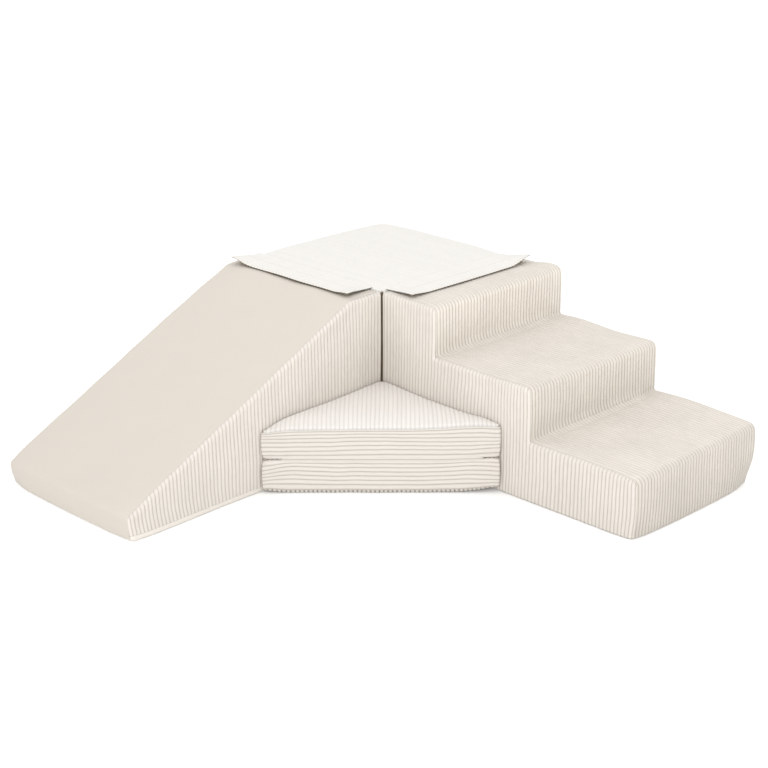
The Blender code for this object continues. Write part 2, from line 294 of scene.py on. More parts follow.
def face(name, frame_axes, corners, radii, R, seam, span, rows, look="ivory", phases=FINE, lean=None, scallop=0.0007,
         low=None, end=None, slot=None, ribbed=1.0, pitch=PITCH, phase=0.0, dip=0.0004):
    """A flat panel whose border rolls over the module's edges.
    Its wales run along b. corners is the module's outline in a, b. low is (b, radius) of a straight bottom
    edge and end is (a, radius) of a straight edge at the high end of a."""
    o, ea, eb, en = (np.asarray(v, float) for v in frame_axes)
    loop = Path(*inset(corners, radii, R), closed=True, turn=4.0).p[:-1]
    q = columns(span[0] / pitch + phase, span[1] / pitch + phase, phases)
    rows = np.asarray(rows, float)
    B, Q = np.meshgrid(rows, q, indexing="ij")
    A = (Q - phase) * pitch
    if lean is not None:
        a0 = A.copy()
        for _ in range(4):
            A = a0 - lean(A, B)
        A[:, 0], A[:, -1] = a0[:, 0], a0[:, -1]
    A, B, Q = A.ravel(), B.ravel(), Q.ravel()

    def dist(a, b):
        pa = a if end is None else np.minimum(a, end[0] - end[1])
        pb = b if low is None else np.maximum(b, low[0] + low[1])
        d, g = nearest(np.stack([pa, pb], -1), loop)
        return pa, pb, d, g

    pa, pb, d, g = dist(A, B)
    limit = (seam(g) if callable(seam) else seam) + scallop * (wale(Q) - 0.6) * (1 if ribbed else 0)
    quads = grid_quads(len(rows), len(q))
    keep = (d <= limit)[quads].any(1)
    if slot is not None:
        hole, na, nb, _ = in_slot(A, B, slot)
        keep &= ~hole[quads].all(1)
        A, B = np.where(hole, na, A), np.where(hole, nb, B)
    quads = quads[keep]
    over = d > limit
    A = np.where(over, A - g[:, 0] * (d - limit), A)
    B = np.where(over, B - g[:, 1] * (d - limit), B)
    quads, (A, B, Q, limit) = compact(quads, A, B, Q, limit if np.ndim(limit) else np.full(len(A), limit))
    pa, pb, d, g = dist(A, B)
    if lean is not None:
        Q = (A + lean(A, B)) / pitch + phase
    else:
        Q = A / pitch + phase
    phi = np.minimum(d / R, math.pi / 2)
    past = np.maximum(d - R * math.pi / 2, 0)
    foot = np.stack([pa, pb], -1) - g * d[:, None]
    flat = foot + g * (R * np.sin(phi))[:, None]
    depth = R * (1 - np.cos(phi)) + past
    P = o + flat[:, :1] * ea + flat[:, 1:] * eb - depth[:, None] * en
    N = (g[:, :1] * ea + g[:, 1:] * eb) * np.sin(phi)[:, None] + en * np.cos(phi)[:, None]
    edge = limit - d
    if low is not None:
        r = low[1]
        t = np.maximum(low[0] + r - B, 0)
        ang = np.minimum(t / r, math.pi / 2)
        P = P - eb * (r * np.sin(ang))[:, None] - N * (r * (1 - np.cos(ang)) + np.maximum(t - r * math.pi / 2, 0))[:, None]
        N = N * np.cos(ang)[:, None] - eb * np.sin(ang)[:, None]
        edge = np.minimum(edge, B - rows[0])
    if end is not None:
        r = end[1]
        t = np.maximum(A - (end[0] - r), 0)
        ang = np.minimum(t / r, math.pi / 2)
        P = P + ea * (r * np.sin(ang))[:, None] - N * (r * (1 - np.cos(ang)) + np.maximum(t - r * math.pi / 2, 0))[:, None]
        N = N * np.cos(ang)[:, None] + ea * np.sin(ang)[:, None]
        edge = np.minimum(edge, span[1] - A)
    if slot is not None:
        edge = np.minimum(edge, in_slot(A, B, slot)[3])
    made = Panel(name, P, N, quads, B, Q, edge, ribbed, look, dip)
    # painted shade: the cloth is painted deep brown where it rolls round the end, the dark gap where two modules meet
    if end is not None:
        made.shade = 1 - step(A, end[0] - end[1] - 0.0004, end[0] - end[1] + end[1] * 1.1)
    return made


def strip(name, frame_axes, path, s, lateral, width, radii, look="ivory", ribs="lateral", phase=0.0, ribbed=1.0,
          slot=None, pitch=PITCH, dip=0.0004, warp=None, q=None):
    """A long panel that follows a path and rolls over at its two long edges.
    lateral is the pattern coordinate across; beyond radii from either side it goes round the edge."""
    o, e0, e1, e2 = (np.asarray(v, float) for v in frame_axes)
    s, lateral = np.asarray(s, float), np.asarray(lateral, float)
    S, L = np.meshgrid(s, lateral, indexing="ij")
    S, L = S.ravel(), L.ravel()
    quads = grid_quads(len(s), len(lateral))
    if ribs == "lateral":
        Q, along = L / pitch + phase, S
    else:
        Q, along = S / pitch + phase, L
    if warp is not None:           # where the wales wander from their straight lines, the mesh goes with them
        shift = warp(S, L)
        inner = (L > lateral[0] + 1e-9) & (L < lateral[-1] - 1e-9)
        fade = np.minimum(step(L, lateral[0], lateral[0] + 0.019), 1 - step(L, lateral[-1] - 0.019, lateral[-1]))
        L = np.where(inner, L + shift * fade, L)
    if slot is not None:
        hole, ns, nl, _ = in_slot(S, L, slot)
        keep = ~hole[quads].all(1)
        ds, dl = np.where(hole, ns, S) - S, np.where(hole, nl, L) - L
        S, L = S + ds, L + dl
        Q = Q + (dl if ribs == "lateral" else ds) / pitch
        along = along + (ds if ribs == "lateral" else dl)
        quads = quads[keep]
        quads, (S, L, Q, along) = compact(quads, S, L, Q, along)
    p, n = path.at(S)
    lo, hi = radii
    under, over = np.maximum(lo - L, 0), np.maximum(L - (width - hi), 0)
    phi0 = np.minimum(under / max(lo, 1e-6), math.pi / 2)
    phi1 = np.minimum(over / max(hi, 1e-6), math.pi / 2)
    y = np.where(under > 0, lo - lo * np.sin(phi0), np.where(over > 0, width - hi + hi * np.sin(phi1), L))
    depth = lo * (1 - np.cos(phi0)) + hi * (1 - np.cos(phi1)) + np.maximum(under - lo * math.pi / 2, 0) + np.maximum(over - hi * math.pi / 2, 0)
    n3 = n[:, :1] * e0 + n[:, 1:] * e1
    P = o + p[:, :1] * e0 + p[:, 1:] * e1 + y[:, None] * e2 - depth[:, None] * n3
    side = np.sin(phi1) - np.sin(phi0)
    N = n3 * (np.cos(phi0) * np.cos(phi1))[:, None] + e2 * side[:, None]
    edge = np.minimum(L - lateral[0], lateral[-1] - L)
    if not (path.closed and abs(s[-1] - s[0] - path.length) < 1e-6):
        edge = np.minimum(edge, np.minimum(S - s[0], s[-1] - S))
    if slot is not None:
        edge = np.minimum(edge, in_slot(S, L, slot)[3])
    made = Panel(name, P, N, quads, along, Q, edge, ribbed, look, dip)
    made.S, made.L = S, L
    if path.closed and abs(s[-1] - s[0] - path.length) < 1e-6:      # join the ends of the loop
        n_l = len(lateral)
        last = (len(s) - 1) * n_l
        fix = np.where(made.quads >= last, made.quads - last, made.quads)
        made.quads = fix
    return made


# ---------------------------------------------------------------- meshes

def new_object(name, V, faces, uv=None, rib=None, smooth=True):
    """faces: an array of quads, or a list of tuples."""
    mesh = bpy.data.meshes.new(name)
    if isinstance(faces, np.ndarray):
        mesh.vertices.add(len(V))
        mesh.vertices.foreach_set("co", np.asarray(V, np.float32).ravel())
        k = faces.shape[1]
        mesh.loops.add(faces.size)
        mesh.loops.foreach_set("vertex_index", faces.astype(np.int32).ravel())
        mesh.polygons.add(len(faces))
        mesh.polygons.foreach_set("loop_start", np.arange(0, faces.size, k, dtype=np.int32))
        mesh.update(calc_edges=True)
    else:
        mesh.from_pydata([tuple(v) for v in V], [], faces)
        mesh.update()
    loops = np.zeros(len(mesh.loops), np.int32)
    mesh.loops.foreach_get("vertex_index", loops)
    if uv is not None:
        layer = mesh.uv_layers.new(name="Pattern")
        layer.data.foreach_set("uv", np.asarray(uv, np.float32)[loops].ravel())
    if rib is not None:
        made = mesh.attributes.new("rib", "FLOAT", "POINT")
        made.data.foreach_set("value", np.asarray(rib, np.float32))
    mesh.validate()
    if smooth:
        mesh.shade_smooth()
    obj = bpy.data.objects.new(name, mesh)
    scene.collection.objects.link(obj)
    return obj


def clean_quads(V, quads):
    """Leaves out faces that have shrunk to nothing."""
    a, b, c, d = (V[quads[:, i]] for i in range(4))
    area = np.linalg.norm(np.cross(c - a, d - b), axis=1) / 2
    return quads[area > 1e-10]


def sheet_object(panel, matrix, thick=CLOTH):
    """Turns a panel into a closed sheet of cloth: wales outside, plain cloth inside, and the cut edge round it."""
    rib = wale(panel.q) if panel.ribbed else np.ones(len(panel.P))
    fade = step(panel.edge, 0.0, panel.hem)
    up = np.clip(panel.N[:, 2], 0, 1) ** 1.3
    a = panel.height * panel.ribbed
    h = a * (rib - 1) * (1 - panel.flatter * up) * (panel.rise + (1 - panel.rise) * fade)
    h = h - panel.seam * (1 - step(panel.edge, 0, 0.0030)) + panel.extra
    outer = panel.P + panel.N * h[:, None]
    inner = panel.P + panel.N * (np.minimum(h, -a) - thick)[:, None]
    rib = 1 - (1 - rib) * (1 - panel.paler * up) * (panel.edge_tone + (1 - panel.edge_tone) * fade)
    quads = clean_quads(outer, panel.quads)
    quads, (outer, inner, rib, along, q, edge, shade, dark) = compact(quads, outer, inner, rib, panel.along, panel.q, panel.edge,
                                                                      panel.shade, panel.edge_dark)
    P, N = compact(clean_quads(panel.P + panel.N * h[:, None], panel.quads), panel.P, panel.N)[1]
    n = np.cross(outer[quads[:, 2]] - outer[quads[:, 0]], outer[quads[:, 3]] - outer[quads[:, 1]])
    if (n * N[quads[:, 0]]).sum() < 0:
        quads = quads[:, ::-1]
    count = len(outer)
    e = np.concatenate([quads[:, [i, (i + 1) % 4]] for i in range(4)])
    key = e[:, 0].astype(np.int64) * count + e[:, 1]
    back = e[:, 1].astype(np.int64) * count + e[:, 0]
    rim = e[~np.isin(key, back)]
    rim = rim[rim[:, 0] != rim[:, 1]]
    rim_quads = np.stack([rim[:, 1], rim[:, 0], rim[:, 0] + count, rim[:, 1] + count], -1)
    faces = np.concatenate([quads, quads[:, ::-1] + count, rim_quads])
    V = np.concatenate([outer, inner])
    V = (np.c_[V, np.ones(len(V))] @ np.array(matrix).T)[:, :3]
    # painted shade: the colour attribute is darkened at the seams by dark, and goes below 0, to deep brown, where shade
    # is 0
    groove = np.clip(rib, 0, 1) * (1 - dark * (1 - step(edge, 0.0, 0.0020))) * shade - (1 - shade)
    uv = np.stack([np.r_[along, along], np.r_[q, q]], -1)
    obj = new_object(panel.name, V, faces, uv, np.r_[groove, groove * 0 + 0.6])
    a3, b3, c3, d3 = (outer[quads[:, i]] for i in range(4))
    panel.flat_area = float((np.linalg.norm(np.cross(c3 - a3, d3 - b3), axis=1) / 2).sum())
    return obj


def box_form(name, low, high, cell=0.016, radius=0.008):
    """A closed rounded block with an even grid, for foam."""
    bm = bmesh.new()
    bmesh.ops.create_cube(bm, size=1.0)
    size = [h - l for l, h in zip(low, high)]
    bmesh.ops.scale(bm, vec=size, verts=bm.verts)
    bmesh.ops.translate(bm, vec=[(l + h) / 2 for l, h in zip(low, high)], verts=bm.verts)
    bmesh.ops.bevel(bm, geom=bm.edges[:], offset=radius, segments=3, profile=0.5, affect="EDGES")
    mesh = bpy.data.meshes.new(name)
    bm.to_mesh(mesh)
    bm.free()
    obj = bpy.data.objects.new(name, mesh)
    scene.collection.objects.link(obj)
    return remeshed(obj, cell)


def prism_form(name, path_pts, low, high, axes, cell):
    """A closed form from an outline, extruded along the third axis, with an even grid."""
    o, e0, e1, e2 = (np.asarray(v, float) for v in axes)
    bm = bmesh.new()
    ring0 = [bm.verts.new(o + p[0] * e0 + p[1] * e1 + low * e2) for p in path_pts]
    ring1 = [bm.verts.new(o + p[0] * e0 + p[1] * e1 + high * e2) for p in path_pts]
    bm.faces.new(ring0[::-1])
    bm.faces.new(ring1)
    for i in range(len(ring0)):
        j = (i + 1) % len(ring0)
        bm.faces.new([ring0[i], ring0[j], ring1[j], ring1[i]])
    bmesh.ops.triangulate(bm, faces=bm.faces[:])
    bmesh.ops.recalc_face_normals(bm, faces=bm.faces)
    mesh = bpy.data.meshes.new(name)
    bm.to_mesh(mesh)
    bm.free()
    obj = bpy.data.objects.new(name, mesh)
    scene.collection.objects.link(obj)
    return remeshed(obj, cell)


def bake(obj):
    """The object's mesh with its modifiers applied."""
    mesh = bpy.data.meshes.new_from_object(obj.evaluated_get(bpy.context.evaluated_depsgraph_get()))
    obj.modifiers.clear()
    old, obj.data = obj.data, mesh
    name = old.name
    bpy.data.meshes.remove(old)
    mesh.name = name
    return obj


def remeshed(obj, cell):
    mod = obj.modifiers.new("voxels", "REMESH")
    mod.mode = "VOXEL"
    mod.voxel_size = cell
    bpy.context.view_layer.update()
    return bake(obj)


def coords(obj):
    co = np.zeros(len(obj.data.vertices) * 3, np.float32)
    obj.data.vertices.foreach_get("co", co)
    return co.reshape(-1, 3).astype(float)


def set_coords(obj, co):
    obj.data.vertices.foreach_set("co", np.asarray(co, np.float32).ravel())
    obj.data.update()


def smooth_field(obj, field, times):
    """Averages a field over the mesh's edges."""
    edges = np.zeros(len(obj.data.edges) * 2, np.int32)
    obj.data.edges.foreach_get("vertices", edges)
    edges = edges.reshape(-1, 2)
    count = np.bincount(edges.ravel(), minlength=len(field)).astype(float)
    for _ in range(times):
        total = np.zeros_like(field)
        for k in range(field.shape[1]):
            total[:, k] = (np.bincount(edges[:, 0], field[edges[:, 1], k], len(field))
                           + np.bincount(edges[:, 1], field[edges[:, 0], k], len(field)))
        field = 0.5 * field + 0.5 * total / np.maximum(count, 1)[:, None]
    return field


def swell(obj, pressure, cap, frames=20, mass=0.3, stiff=18.0, times=3, share=0.35):
    """Blows the form up a little as cloth, keeps each point within cap of its start, and gives the displacement."""
    rest = coords(obj)
    cloth = obj.modifiers.new("swell", "CLOTH")
    st = cloth.settings
    st.quality = 5
    st.mass = mass
    st.tension_stiffness = stiff
    st.compression_stiffness = stiff
    st.shear_stiffness = stiff * 0.4
    st.bending_stiffness = 0.6
    st.use_pressure = True
    st.uniform_pressure_force = pressure
    st.effector_weights.gravity = 0.0
    cloth.collision_settings.use_collision = False
    cloth.collision_settings.use_self_collision = False
    cloth.point_cache.frame_start = 1
    cloth.point_cache.frame_end = frames
    for f in range(1, frames + 1):
        scene.frame_set(f)
    done = obj.evaluated_get(bpy.context.evaluated_depsgraph_get())
    co = np.zeros(len(done.data.vertices) * 3, np.float32)
    done.data.vertices.foreach_get("co", co)
    move = co.reshape(-1, 3).astype(float) - rest
    obj.modifiers.clear()
    scene.frame_set(1)
    far = np.linalg.norm(move, axis=1)
    move *= (cap * np.tanh(far / cap) / np.maximum(far, 1e-9))[:, None]
    move = smooth_field(obj, move, times)
    return rest, move * share


class Softness:
    """The displacement that the foam takes in its cover, read at any point near its surface."""

    def __init__(self, obj, rest, move):
        self.move = move
        polys = [tuple(p.vertices) for p in obj.data.polygons]
        self.polys = polys
        self.rest = rest
        self.tree = BVHTree.FromPolygons([Vector(v) for v in rest], polys)

    def __call__(self, points):
        out = np.zeros((len(points), 3))
        find, polys, rest, move = self.tree.find_nearest, self.polys, self.rest, self.move
        for i, p in enumerate(points):
            hit, _, k, _ = find(p)
            poly = polys[k]
            ids = list(poly)
            w = 1.0 / (((rest[ids] - p) ** 2).sum(1) + 1e-6)
            out[i] = (move[ids] * (w / w.sum())[:, None]).sum(0)
        return out


def read_soft(soft, points):
    """The softness at many points: read on every few points, which is enough for a smooth field."""
    cell = 0.006
    key = np.round(points / cell).astype(np.int64)
    uniq, back = np.unique(key, axis=0, return_inverse=True)
    back = back.reshape(-1)
    count = np.bincount(back, minlength=len(uniq)).astype(float)
    centre = np.stack([np.bincount(back, points[:, k], len(uniq)) / count for k in range(3)], -1)
    values = soft(centre)
    # blend between the cells, so that no step shows
    table = {tuple(k): i for i, k in enumerate(uniq.tolist())}
    base = np.floor(points / cell).astype(np.int64)
    frac = points / cell - base
    out = np.zeros_like(points)
    weight = np.zeros(len(points))
    bkey, bback = np.unique(base, axis=0, return_inverse=True)
    bback = bback.reshape(-1)
    for dx in (0, 1):
        for dy in (0, 1):
            for dz in (0, 1):
                idx = np.array([table.get((a + dx, b + dy, c + dz), -1) for a, b, c in bkey.tolist()])[bback]
                w = (np.where(dx, frac[:, 0], 1 - frac[:, 0]) * np.where(dy, frac[:, 1], 1 - frac[:, 1])
                     * np.where(dz, frac[:, 2], 1 - frac[:, 2])) * (idx >= 0)
                out += values[np.maximum(idx, 0)] * w[:, None]
                weight += w
    small = weight < 1e-6
    out = out / np.maximum(weight, 1e-6)[:, None]
    out[small] = values[back[small]]
    return out


# ---------------------------------------------------------------- materials

class Shader:
    """Short ways to add and join shader nodes."""

    def __init__(self, name):
        self.material = bpy.data.materials.new(name)
        self.material.use_nodes = True
        self.tree = self.material.node_tree
        self.tree.nodes.clear()
        self.out = self.add("ShaderNodeOutputMaterial")
        self.bsdf = self.add("ShaderNodeBsdfPrincipled")
        self.tree.links.new(self.bsdf.outputs["BSDF"], self.out.inputs["Surface"])

    def add(self, kind, **values):
        node = self.tree.nodes.new(kind)
        for k, v in values.items():
            setattr(node, k, v)
        return node

    def put(self, socket, value):
        if isinstance(value, bpy.types.NodeSocket):
            self.tree.links.new(value, socket)
        else:
            socket.default_value = value

    def math(self, op, a, b=None, c=None, clamp=False):
        node = self.add("ShaderNodeMath", operation=op, use_clamp=clamp)
        self.put(node.inputs[0], a)
        if b is not None:
            self.put(node.inputs[1], b)
        if c is not None:
            self.put(node.inputs[2], c)
        return node.outputs[0]

    def pattern(self):
        """Along the wale in metres, and across it counted in wales."""
        uv = self.add("ShaderNodeUVMap", uv_map="Pattern")
        sep = self.add("ShaderNodeSeparateXYZ")
        self.put(sep.inputs[0], uv.outputs[0])
        return sep.outputs[0], sep.outputs[1]

    def vector(self, x, y, z=0.0):
        node = self.add("ShaderNodeCombineXYZ")
        for s, v in zip(node.inputs, (x, y, z)):
            self.put(s, v)
        return node.outputs[0]

    def noise(self, vector, scale=1.0, detail=2.0, rough=0.5):
        node = self.add("ShaderNodeTexNoise", noise_dimensions="3D")
        self.put(node.inputs["Vector"], vector)
        node.inputs["Scale"].default_value = scale
        node.inputs["Detail"].default_value = detail
        node.inputs["Roughness"].default_value = rough
        return node.outputs[0]

    def voronoi(self, vector, scale, feature="F1"):
        node = self.add("ShaderNodeTexVoronoi", feature=feature)
        self.put(node.inputs["Vector"], vector)
        node.inputs["Scale"].default_value = scale
        return node.outputs["Distance"]

    def about_one(self, value, amount, middle=0.5):
        """1 + (value - middle) * 2 * amount"""
        return self.math("MULTIPLY_ADD", value, 2 * amount, 1 - 2 * amount * middle)

    def mix(self, factor, a, b):
        node = self.add("ShaderNodeMix", data_type="RGBA")
        self.put(node.inputs[0], factor)
        self.put(node.inputs[6], (*a, 1) if isinstance(a, tuple) else a)
        self.put(node.inputs[7], (*b, 1) if isinstance(b, tuple) else b)
        return node.outputs[2]

    def scaled(self, colour, value):
        node = self.add("ShaderNodeVectorMath", operation="SCALE")
        self.put(node.inputs[0], colour)
        self.put(node.inputs["Scale"], value)
        return node.outputs[0]

    def attribute(self, name):
        return self.add("ShaderNodeAttribute", attribute_name=name).outputs["Fac"]

    def bump(self, height, distance, strength=1.0, normal=None):
        node = self.add("ShaderNodeBump")
        self.put(node.inputs["Height"], height)
        node.inputs["Distance"].default_value = distance
        node.inputs["Strength"].default_value = strength
        if normal is not None:
            self.put(node.inputs["Normal"], normal)
        return node.outputs[0]

    def finish(self, colour, rough, normal=None, sheen=0.0, specular=0.3, metallic=0.0, coat=0.0):
        b = self.bsdf
        self.put(b.inputs["Base Color"], colour)
        self.put(b.inputs["Roughness"], rough)
        b.inputs["Metallic"].default_value = metallic
        b.inputs["Specular IOR Level"].default_value = specular
        if sheen:
            b.inputs["Sheen Weight"].default_value = sheen
            b.inputs["Sheen Roughness"].default_value = 0.45
            b.inputs["Sheen Tint"].default_value = (1.0, 0.97, 0.92, 1.0)
        if coat:
            b.inputs["Coat Weight"].default_value = coat
            b.inputs["Coat Roughness"].default_value = 0.35
        if normal is not None:
            self.put(b.inputs["Normal"], normal)
        return self.material


def corduroy(name, crest, groove, mottle=0.03, sharp=1.3, rise=0.0, side=0.0, turn=0.0):
    """sharp: how narrow the grooves' colour is; rise: painted light, how much paler the upright cloth is painted with
    height; side: painted shade, how much darker the cloth is painted where it stands upright; turn: painted shade, how
    much darker it is painted where it turns over an edge."""
    s = Shader(name)
    along, q = s.pattern()
    rib = s.attribute("rib")
    # painted shade: rib values below 0 mix the colour towards a deep brown
    deep = s.math("MULTIPLY", rib, -1.0, clamp=True)
    rib = s.math("MAXIMUM", rib, 0.0)
    strands = s.noise(s.vector(s.math("MULTIPLY", along, 300.0), s.math("MULTIPLY", q, 11.0)), detail=2.0)
    pile = s.noise(s.vector(s.math("MULTIPLY", along, 1500.0), s.math("MULTIPLY", q, 24.0)), detail=1.0)
    brushed = s.noise(s.vector(s.math("MULTIPLY", along, 34.0), s.math("MULTIPLY", q, 0.9)), detail=3.0, rough=0.6)
    patches = s.noise(s.vector(s.math("MULTIPLY", along, 9.0), s.math("MULTIPLY", q, 0.09)), detail=2.0)
    row = s.add("ShaderNodeTexWhiteNoise", noise_dimensions="1D")
    s.put(row.inputs["W"], s.math("FLOOR", q))
    tone = s.about_one(strands, 0.05)
    tone = s.math("MULTIPLY", tone, s.about_one(pile, 0.035))
    tone = s.math("MULTIPLY", tone, s.about_one(brushed, mottle))
    tone = s.math("MULTIPLY", tone, s.about_one(patches, mottle * 0.8))
    tone = s.math("MULTIPLY", tone, s.about_one(row.outputs["Value"], 0.012))
    lift = s.math("POWER", rib, sharp)
    # painted light and shade: paler with height, darker where the cloth stands upright and where it turns over an edge,
    # by its object-space normal
    if rise or side:
        where = s.add("ShaderNodeTexCoord")
        place, facing = s.add("ShaderNodeSeparateXYZ"), s.add("ShaderNodeSeparateXYZ")
        s.put(place.inputs[0], where.outputs["Object"])
        s.put(facing.inputs[0], where.outputs["Normal"])
        upright = s.math("MULTIPLY_ADD", s.math("MULTIPLY", facing.outputs[2], facing.outputs[2]), -1.0, 1.0)
        change = s.math("MULTIPLY_ADD", s.math("SUBTRACT", place.outputs[2], 0.2), rise, -side)
        tone = s.math("MULTIPLY", tone, s.math("MULTIPLY_ADD", change, upright, 1.0))
        slant = s.math("MULTIPLY", upright, s.math("MULTIPLY_ADD", upright, -1.0, 1.0))
        tone = s.math("MULTIPLY", tone, s.math("MULTIPLY_ADD", slant, -4.0 * turn, 1.0))
    colour = s.scaled(s.mix(lift, groove, crest), tone)
    colour = s.mix(deep, colour, (groove[0] * 0.26, groove[1] * 0.20, groove[2] * 0.12))
    tufts = s.math("ADD", s.math("MULTIPLY", strands, 0.7), s.math("MULTIPLY", pile, 0.5))
    rough = s.math("MULTIPLY_ADD", strands, 0.12, 0.84)
    return s.finish(colour, rough, s.bump(tufts, 0.0007, 0.55), sheen=0.22, specular=0.12)


def leatherette(name, base, dark):
    s = Shader(name)
    along, q = s.pattern()
    v = s.vector(along, s.math("MULTIPLY", q, PITCH))
    grain = s.voronoi(v, 620.0, "F1")
    fine = s.noise(v, 1900.0, 2.0)
    pores = s.voronoi(v, 1100.0, "F1")
    soft = s.noise(v, 9.0, 3.0, 0.55)
    blotch = s.noise(v, 38.0, 3.0)
    tone = s.math("MULTIPLY", s.about_one(soft, 0.012), s.about_one(blotch, 0.010))
    tone = s.math("MULTIPLY", tone, s.about_one(grain, 0.012, 0.4))
    # painted light: the leatherette is painted paler with height and darker towards the floor
    place = s.add("ShaderNodeSeparateXYZ")
    s.put(place.inputs[0], s.add("ShaderNodeTexCoord").outputs["Object"])
    tone = s.math("MULTIPLY", tone, s.math("MULTIPLY_ADD", place.outputs[2], 0.16, 0.955))
    # painted shade: the rib attribute darkens the leatherette at its seams
    wear_and_seam_shade = s.attribute("rib")
    colour = s.scaled(s.mix(wear_and_seam_shade, dark, base), tone)
    height = s.math("ADD", s.math("MULTIPLY", grain, 0.6), s.math("ADD", s.math("MULTIPLY", fine, 0.25), s.math("MULTIPLY", pores, 0.3)))
    n = s.bump(height, 0.00022, 0.5)
    n = s.bump(soft, 0.0035, 0.35, n)
    rough = s.math("MULTIPLY_ADD", blotch, 0.12, 0.46)
    return s.finish(colour, rough, n, specular=0.35)


def woven(name, base, dark, thread=0.0011):
    s = Shader(name)
    along, q = s.pattern()
    across = s.math("MULTIPLY", q, PITCH)
    w = 2 * math.pi / thread
    one = s.math("SINE", s.math("MULTIPLY", along, w))
    two = s.math("SINE", s.math("MULTIPLY", across, w))
    weave = s.math("MULTIPLY", one, two)
    uneven = s.noise(s.vector(s.math("MULTIPLY", along, 240.0), s.math("MULTIPLY", across, 900.0)), detail=2.0)
    patch = s.noise(s.vector(along, across), 14.0, 2.0)
    tone = s.math("MULTIPLY", s.about_one(uneven, 0.05), s.about_one(patch, 0.03))
    tone = s.math("MULTIPLY", tone, s.math("MULTIPLY_ADD", weave, 0.03, 1.0))
    # painted shade: on the base panels the rib attribute darkens the cloth at its seams
    colour = s.scaled(s.mix(s.attribute("rib"), dark, base), tone)
    height = s.math("MULTIPLY_ADD", weave, 0.5, s.math("MULTIPLY", uneven, 0.5))
    return s.finish(colour, s.math("MULTIPLY_ADD", uneven, 0.1, 0.78), s.bump(height, 0.0003, 0.5), sheen=0.1, specular=0.2)


def foam_look(name, base, dark):
    s = Shader(name)
    at = s.add("ShaderNodeTexCoord").outputs["Object"]
    cells = s.voronoi(at, 700.0)
    small = s.noise(at, 1500.0, 2.0)
    patch = s.noise(at, 12.0, 3.0)
    tone = s.math("MULTIPLY", s.about_one(cells, 0.10, 0.45), s.about_one(patch, 0.05))
    colour = s.scaled(s.mix(small, dark, base), tone)
    return s.finish(colour, s.math("MULTIPLY_ADD", cells, 0.1, 0.86), s.bump(cells, 0.0006, 0.6), specular=0.1)


def fastener(name, base, dark, cells, depth):
    s = Shader(name)
    at = s.add("ShaderNodeTexCoord").outputs["Object"]
    dots = s.voronoi(at, cells)
    fluff = s.noise(at, 900.0, 3.0)
    patch = s.noise(at, 30.0, 2.0)
    tone = s.math("MULTIPLY", s.about_one(fluff, 0.10), s.about_one(patch, 0.04))
    colour = s.scaled(s.mix(s.math("MULTIPLY", dots, 1.6, clamp=True), base, dark), tone)
    return s.finish(colour, s.math("MULTIPLY_ADD", fluff, 0.15, 0.72), s.bump(s.math("ADD", dots, fluff), depth, 0.6), specular=0.2)


def metal(name, base):
    s = Shader(name)
    at = s.add("ShaderNodeTexCoord").outputs["Object"]
    cast = s.noise(at, 900.0, 3.0)
    brushed = s.noise(at, 180.0, 2.0)
    edges = s.add("ShaderNodeNewGeometry").outputs["Pointiness"]
    wear_and_seam_shade = s.math("MULTIPLY_ADD", edges, 1.6, -0.42, clamp=True)
    colour = s.scaled(s.mix(wear_and_seam_shade, base, tuple(min(1.0, c * 1.25) for c in base)), s.about_one(brushed, 0.05))
    return s.finish(colour, s.math("MULTIPLY_ADD", cast, 0.2, 0.26), s.bump(cast, 0.00006, 0.5), metallic=0.9, specular=0.5)


LOOKS = {
    "ivory": corduroy("ivory_corduroy", (0.690, 0.676, 0.648), (0.46, 0.43, 0.38), 0.010),
    # painted shade: the flap's dark brown grooves, and its deep brown, make the shadow line under its outer edge
    "flap": corduroy("ivory_corduroy_flap", (0.692, 0.676, 0.646), (0.27, 0.205, 0.130), 0.014, 1.0),
    # painted light: mat and mat_top are a shaded and a lit copy of one cloth; mat_top is paler for the faces that look
    # up and its side value paints it darker where it stands upright
    "mat": corduroy("ivory_corduroy_mat", (0.598, 0.566, 0.524), (0.335, 0.298, 0.262), 0.012, 0.85),
    "mat_top": corduroy("ivory_corduroy_mat_top", (0.722, 0.692, 0.665), (0.45, 0.42, 0.375), 0.010, 1.0, 0.0, 0.27),
    # painted shade: mat_foot's near black brown grooves stand for the shade between the wales' ends at the mat's foot
    "mat_foot": corduroy("ivory_corduroy_foot", (0.598, 0.566, 0.524), (0.10, 0.080, 0.055), 0.012, 1.5),
    # painted light and shade: cream and band are painted paler with height and darker where the cloth turns over an
    # edge
    "cream": corduroy("cream_corduroy", (0.635, 0.597, 0.554), (0.395, 0.352, 0.290), 0.060, 1.05, 0.33, 0.0, 0.035),
    "band": corduroy("cream_corduroy_band", (0.632, 0.591, 0.540), (0.350, 0.308, 0.248), 0.095, 1.2, 0.85, 0.0, 0.07),
    "leatherette": leatherette("leatherette", (0.540, 0.495, 0.440), (0.40, 0.35, 0.29)),
    "base": woven("base_fabric", (0.640, 0.605, 0.555), (0.42, 0.38, 0.32)),
    "foam": foam_look("foam", (0.80, 0.76, 0.64), (0.70, 0.65, 0.52)),
    "hook": fastener("hook_strip", (0.68, 0.64, 0.56), (0.48, 0.44, 0.37), 620.0, 0.0007),
    "loop": fastener("loop_strip", (0.70, 0.66, 0.59), (0.58, 0.53, 0.45), 1300.0, 0.0005),
    "tape": woven("zip_tape", (0.66, 0.62, 0.54), (0.42, 0.38, 0.31), 0.0009),
    "teeth": fastener("zip_teeth", (0.70, 0.66, 0.58), (0.56, 0.52, 0.44), 250.0, 0.0001),
    "slider": metal("zip_slider_metal", (0.60, 0.58, 0.54)),
}


def dress(obj, look):
    obj.data.materials.clear()
    obj.data.materials.append(LOOKS[look])
    return obj


# ---------------------------------------------------------------- modules

